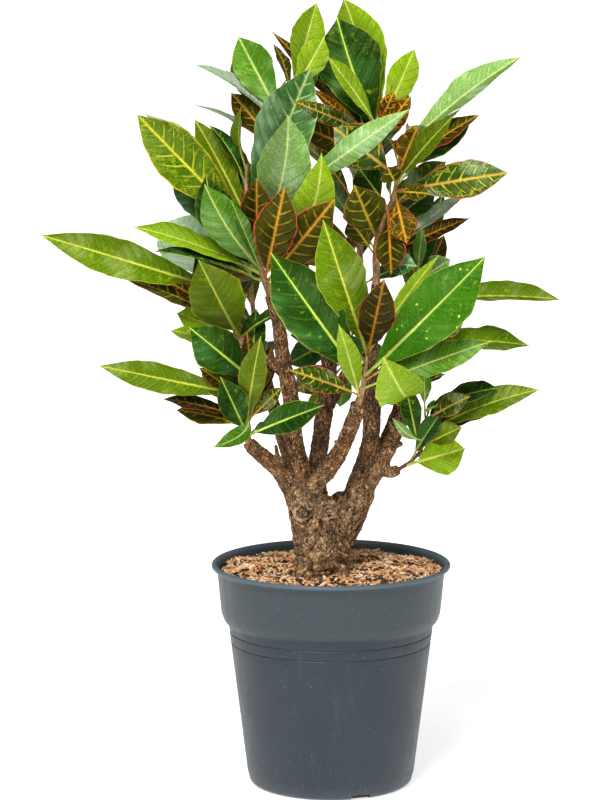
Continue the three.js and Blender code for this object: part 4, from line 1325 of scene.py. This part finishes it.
def make_trunk(material):
    limbs = Limbs()
    x, y = TRUNK_AXIS
    butt = [[x + bend, y, z] for bend, z in TRUNK_BENDS]
    ts = np.linspace(0, 1, BUTT_RINGS)
    radii = TRUNK_RADIUS - TRUNK_TAPER * np.clip(ts - TRUNK_PLAIN_SHARE, 0, None)
    limbs.add(*rounded_end(curve_points(butt, ts), radii), BUTT_SIDES, 0)
    for wander, (points, ends) in zip(itertools.count(*FORK_GRAINS), FORKS + BURLS):
        add_limb(limbs, points, ends, FORK_SIDES, wander, capped=True)
    for wander, (name, (_, ends)) in zip(itertools.count(*BRANCH_GRAINS), BRANCHES.items()):
        twig = next(plan[1] for plan in (*SHOOTS.values(), *FANS.values()) if plan[0] == name)
        points, branch_end = shoot_curve(name, twig)
        add_limb(limbs, points, ends, BRANCH_SIDES, wander, (0, branch_end), BRANCH_TAPER_POWER)
    for wander, (start, end, *ends) in zip(itertools.count(*STUB_GRAINS), STUBS):
        middle = mix(np.array(start), np.array(end), 0.5)
        add_limb(limbs, [start, middle, end], ends, STUB_SIDES, wander)
    rough = add_object("trunk_rough", limbs.builder.mesh("trunk_rough", [material]))
    remesh = rough.modifiers.new("remesh", "REMESH")
    remesh.mode = "VOXEL"
    remesh.voxel_size = BARK_VOXEL * MM
    smooth = rough.modifiers.new("smooth", "SMOOTH")
    smooth.iterations = BARK_SMOOTHINGS
    smooth.factor = 0.5
    bark = after_modifiers(rough, "trunk_bark")
    bark.materials.clear()
    bark.materials.append(material)
    roughen(bark, limbs)
    bark.shade_smooth()
    make_piece(bark, "trunk")


# Soil

def soil_height(radius, angle):
    share = radius / SOIL_TOP_RADIUS
    dome = SOIL_TOP + SOIL_MOUND * np.sin((1 - share) * math.pi * 0.9)
    coarse = SOIL_COARSE_WAVE * np.sin(5 * angle + 7 * share)
    return dome + coarse + SOIL_FINE_WAVE * np.sin(11 * angle - 4 * share)


def held_inside(points, limit):
    """Draws points that lie beyond a radius back to it."""
    flat = np.hypot(points[:, 0], points[:, 1])
    points[:, :2] *= np.minimum(1, limit / flat)[:, None]
    return points


def make_soil(bed_material, chips_material):
    rng = np.random.default_rng(SOIL_SEED)
    builder = Builder(values=("tone", "dry", "bared"))
    radii = np.linspace(SOIL_TOP_RADIUS, 0.5, SOIL_RINGS)[:, None]
    crumbs = noise_at(ring_points(radii, 0, SOIL_SIDES), 5, 1).reshape(SOIL_RINGS, SOIL_SIDES)
    heights = soil_height(radii, full_turn(SOIL_SIDES)) - BED_DEPTH + crumbs * BED_CRUMBS
    inset = WALL + SOIL_GAP
    side = np.array([(BODY_BOTTOM_RADIUS - INNER_FOOT_INSET, FLOOR + SOIL_GAP),
                     (BODY_BOTTOM_RADIUS - inset, 9.8), (BODY_TOP_RADIUS - inset, BODY_TOP + 2),
                     (COLLAR_BOTTOM_RADIUS - inset, COLLAR_BOTTOM + 1)])
    bed = np.vstack([ring_points(side[:, 0], side[:, 1:], SOIL_SIDES),
                     ring_points(radii, heights, SOIL_SIDES)])
    rows = len(side) + SOIL_RINGS
    first = np.arange(SOIL_SIDES)
    builder.add(bed, [grid_faces(rows, SOIL_SIDES, closed=True), [first[::-1]],
                      [(rows - 1) * SOIL_SIDES + first]])
    add_chips(builder, rng)
    add_fibres(builder, rng)
    mesh = builder.mesh("soil_bark_chips", [bed_material, chips_material], SOIL_SHARP)
    make_piece(mesh, "soil")


def chip_spots(rng, count):
    """Places on the soil, clear of the trunk."""
    radius = (SOIL_TOP_RADIUS - 1.5) * np.sqrt(rng.uniform(0, 1, count))
    angle = rng.uniform(0, 2 * math.pi, count)
    x, y = radius * np.cos(angle), radius * np.sin(angle)
    clear = np.hypot(x - TRUNK_AXIS[0], y - TRUNK_AXIS[1]) > TRUNK_RADIUS - TRUNK_OVERLAP
    return np.stack([x, y, soil_height(radius, angle)], axis=1)[clear]


def add_chips(builder, rng):
    """Splinters and crumbs of bark: five-sided prisms with a blunt point at each end."""
    ring = np.array([[0, math.cos(a), math.sin(a)] for a in full_turn(5)])
    shape = np.vstack([[[-1, 0, 0]], ring + [-0.55, 0, 0], ring + [0.5, 0, 0], [[1, 0, 0]]])
    near, far = np.arange(1, 6), np.arange(6, 11)
    next_near, next_far = np.roll(near, -1), np.roll(far, -1)
    ends = [np.stack([np.zeros(5, int), next_near, near], axis=1),
            np.stack([np.full(5, 11), far, next_far], axis=1)]
    faces = [np.vstack(ends), np.stack([near, next_near, next_far, far], axis=1)]
    for spot in chip_spots(rng, CHIP_COUNT):
        splinter = rng.random() < SPLINTER_SHARE
        long = rng.uniform(*(SPLINTER_LENGTHS if splinter else CRUMB_LENGTHS))
        wide = rng.uniform(*CHIP_WIDTHS)
        thick = wide * rng.uniform(*CHIP_FLATNESS)
        heading = rng.uniform(0, 2 * math.pi)
        tilt = rng.normal(0, CHIP_TILT)
        roll = rng.uniform(0, math.pi)
        axis = ray(heading, tilt)
        across = unit(np.cross(UP, axis))
        across, above = rolled(across, np.cross(axis, across), roll)
        local = shape * [long, wide, thick] * rng.uniform(*CHIP_CORNERS, shape.shape)
        level = rng.uniform(*CHIP_LEVELS)
        vertices = spot + local @ np.stack([axis, across, above]) + UP * level
        # Painted shade: the low part of each chip darkens towards the soil. Chips set lower also
        # get a slightly darker tone.
        bared = ramp(vertices[:, 2] - spot[2], *PAINTED_SHADE_HEIGHTS)
        tone = np.clip(rng.beta(1.7, 1.5) + 0.1 * (level - 0.2), 0, 1)
        builder.add(held_inside(vertices, SOIL_TOP_RADIUS + 0.3), faces, 1, tone=tone,
                    bared=bared, dry=float(rng.random() < DRY_SHARE))


def add_fibres(builder, rng):
    """Fine bent coir fibres that lie on the chips."""
    ts = np.linspace(-1, 1, 7)[:, None]
    for spot in chip_spots(rng, FIBRE_COUNT):
        forward = ray(rng.uniform(0, 2 * math.pi))
        sideways = np.cross(UP, forward)
        long = rng.uniform(*FIBRE_LENGTHS)
        bow = rng.uniform(-FIBRE_BOW, FIBRE_BOW) * long
        path = spot + forward * ts * long / 2 + sideways * bow * (1 - ts**2)
        path = path + UP * (FIBRE_LIFT + rng.uniform(0, 1.0) * (1 - ts**2))
        path = held_inside(path, SOIL_TOP_RADIUS - 1)
        vertices, faces = tube(path, rng.uniform(*FIBRE_RADII), 5)
        builder.add(vertices, faces, 1, tone=rng.uniform(0.3, 0.9), bared=1.0)


# Pot

def pot_outline():
    """The pot's section, from the middle of its underside out, up, over the lip and back down."""
    slope = (BODY_TOP_RADIUS - BODY_BOTTOM_RADIUS) / BODY_TOP
    wall = [(BODY_BOTTOM_RADIUS + slope * z, z) for z in (14, 40, 80, 120, 150)]
    for z in GROOVE_HEIGHTS:
        for step, depth in GROOVE_SECTION:
            height = z + step * GROOVE_HALF_WIDTH
            wall.append((BODY_BOTTOM_RADIUS + slope * height - depth * GROOVE_DEPTH, height))
    foot = [(0, 0), (60, 0), (82, 0), (84, 0)]
    foot += [(BODY_BOTTOM_RADIUS - 9 + 9 * math.sin(a), 8 - 8 * math.cos(a))
             for a in np.linspace(0.1, math.pi / 2, 8)]
    step = [(BODY_TOP_RADIUS + out, z) for out, z in STEP_SECTION]
    collar = [(COLLAR_BOTTOM_RADIUS - 0.5, 196.4), (COLLAR_BOTTOM_RADIUS, 198.5),
              (COLLAR_BOTTOM_RADIUS + 0.5, 203), (126.2, 220), (COLLAR_TOP_RADIUS - 0.2, 243),
              (COLLAR_TOP_RADIUS + 0.1, 245.6), (COLLAR_TOP_RADIUS + 0.8, 247),
              (RIM_RADIUS - LIP_RADIUS - 0.8, 247.9)]
    lip = [(RIM_RADIUS - LIP_RADIUS + LIP_RADIUS * math.cos(math.radians(d)),
            POT_HEIGHT - LIP_RADIUS + LIP_RADIUS * math.sin(math.radians(d)))
           for d in range(-75, 166, 20)]
    inner = [(128.4, 250.2), (127.2, 247.6), (COLLAR_TOP_RADIUS - WALL, COLLAR_TOP - 1),
             (COLLAR_BOTTOM_RADIUS - WALL, COLLAR_BOTTOM + 1),
             (BODY_TOP_RADIUS - WALL, BODY_TOP + 3), (BODY_BOTTOM_RADIUS - WALL, 8),
             (BODY_BOTTOM_RADIUS - INNER_FOOT_INSET, FLOOR), (60, FLOOR), (0, FLOOR)]
    return foot + wall + step + collar + lip + inner


def pot_shell():
    outline = np.array(pot_outline())[1:-1]
    rings = ring_points(outline[:, 0], outline[:, 1:], POT_SIDES)
    vertices = np.vstack([rings, [[0, 0, 0], [0, 0, FLOOR]]])
    centre = len(vertices) - 2
    first = np.arange(POT_SIDES)
    around = np.roll(first, -1)
    last = (len(outline) - 1) * POT_SIDES
    bottom = np.stack([around, first, np.full(POT_SIDES, centre)], axis=1)
    floor = np.stack([last + first, last + around, np.full(POT_SIDES, centre + 1)], axis=1)
    builder = Builder()
    builder.add(vertices, [grid_faces(len(outline), POT_SIDES, closed=True), bottom, floor])
    return builder


def foot_notches():
    """Arched bars that are cut out of the pot's foot."""
    arch = [(-1.06, -2), (-1, NOTCH_HEIGHT * 0.7), (-0.86, NOTCH_HEIGHT), (0.86, NOTCH_HEIGHT),
            (1, NOTCH_HEIGHT * 0.7), (1.06, -2)]
    faces = [[[0, 1, 2, 3, 4, 5]], [[11, 10, 9, 8, 7, 6]],
             [[j, j + 6, (j + 1) % 6 + 6, (j + 1) % 6] for j in range(6)]]
    builder = Builder()
    for k in range(NOTCH_COUNT):
        outward = ray(k / NOTCH_COUNT * 2 * math.pi - math.pi / 2 + NOTCH_TURN)
        along = np.cross(UP, outward)
        ends = [[outward * (BODY_BOTTOM_RADIUS + end * NOTCH_DEPTH / 2)
                 + along * side * NOTCH_WIDTH / 2 + UP * z for side, z in arch] for end in (-1, 1)]
        builder.add(np.vstack(ends), faces)
    return builder


def face_outward(mesh):
    work = bmesh.new()
    work.from_mesh(mesh)
    bmesh.ops.recalc_face_normals(work, faces=work.faces)
    work.to_mesh(mesh)
    work.free()


def make_pot(material):
    pot = add_object("pot_shell", pot_shell().mesh("pot_shell", [material], POT_SHARP))
    tool = add_object("notches", foot_notches().mesh("notches", []))
    for thing in (pot, tool):
        face_outward(thing.data)
    cut = pot.modifiers.new("notches", "BOOLEAN")
    cut.operation = "DIFFERENCE"
    cut.object = tool
    cut.solver = "EXACT"
    mesh = after_modifiers(pot, "pot_body")
    bpy.data.objects.remove(tool)
    smooth_but_sharp(mesh, POT_SHARP)
    make_piece(mesh, "pot")


# Studio

def make_floor():
    builder = Builder()
    faces = grid_faces(len(FLOOR_RADII), FLOOR_SIDES, closed=True)[:, ::-1]
    builder.add(ring_points(FLOOR_RADII, 0, FLOOR_SIDES), [faces, [np.arange(FLOOR_SIDES)]])
    add_object("floor", builder.mesh("floor", [floor_material()]))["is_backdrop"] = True


def make_world():
    world = bpy.data.worlds.new("studio")
    world.use_nodes = True
    tree = world.node_tree
    background = tree.nodes["Background"]
    background.inputs["Color"].default_value = (1, 1, 1, 1)
    path = tree.nodes.new("ShaderNodeLightPath")
    strength = tree.nodes.new("ShaderNodeMapRange")
    strength.inputs["To Min"].default_value = WORLD_LIGHT
    strength.inputs["To Max"].default_value = BACKDROP_LIGHT
    tree.links.new(path.outputs["Is Camera Ray"], strength.inputs["Value"])
    tree.links.new(strength.outputs[0], background.inputs["Strength"])
    bpy.context.scene.world = world


def pointed(direction):
    return direction.to_track_quat("-Z", "Y").to_euler()


def make_lights():
    sun = bpy.data.lights.new("key", "SUN")
    sun.energy = SUN_STRENGTH
    sun.angle = math.radians(SUN_SPREAD)
    add_object("key", sun).rotation_euler = pointed(Vector(SUN_DIRECTION))

    panel = bpy.data.lights.new("front_panel", "AREA")
    panel.shape = "RECTANGLE"
    panel.size, panel.size_y = PANEL_SIZE
    panel.energy = PANEL_POWER
    fill = add_object("front_panel", panel)
    fill.location = PANEL_PLACE
    fill.rotation_euler = pointed(Vector(PANEL_AIM) - fill.location)


look_through_camera()
shared = {kind: leaf_material(kind) for kind in sorted(KINDS)}
shared["twig"] = twig_material("twig", "#86603c", "#cca070")
shared["young_twig"] = twig_material("young_twig", "#4c2018", "#8c5034")
for number, (name, (branch, twig, leaves)) in enumerate(SHOOTS.items()):
    make_shoot(name, branch, twig, leaves, number, shared)
for number, (name, (branch, twig, *fan)) in enumerate(FANS.items()):
    leaves = list(fan_leaves(*shoot_curve(branch, twig), *fan))
    make_shoot(name, branch, twig, leaves, 100 + number, shared)
make_trunk(bark_material())
make_soil(soil_bed_material(), chip_material())
make_pot(pot_material())
make_floor()
make_world()
make_lights()
bpy.context.scene.view_settings.view_transform = "Standard"

boxes = {"cad": CAD_BOUNDS, "visual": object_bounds()}
{name: [list(corner) for corner in box] for name, box in boxes.items()}
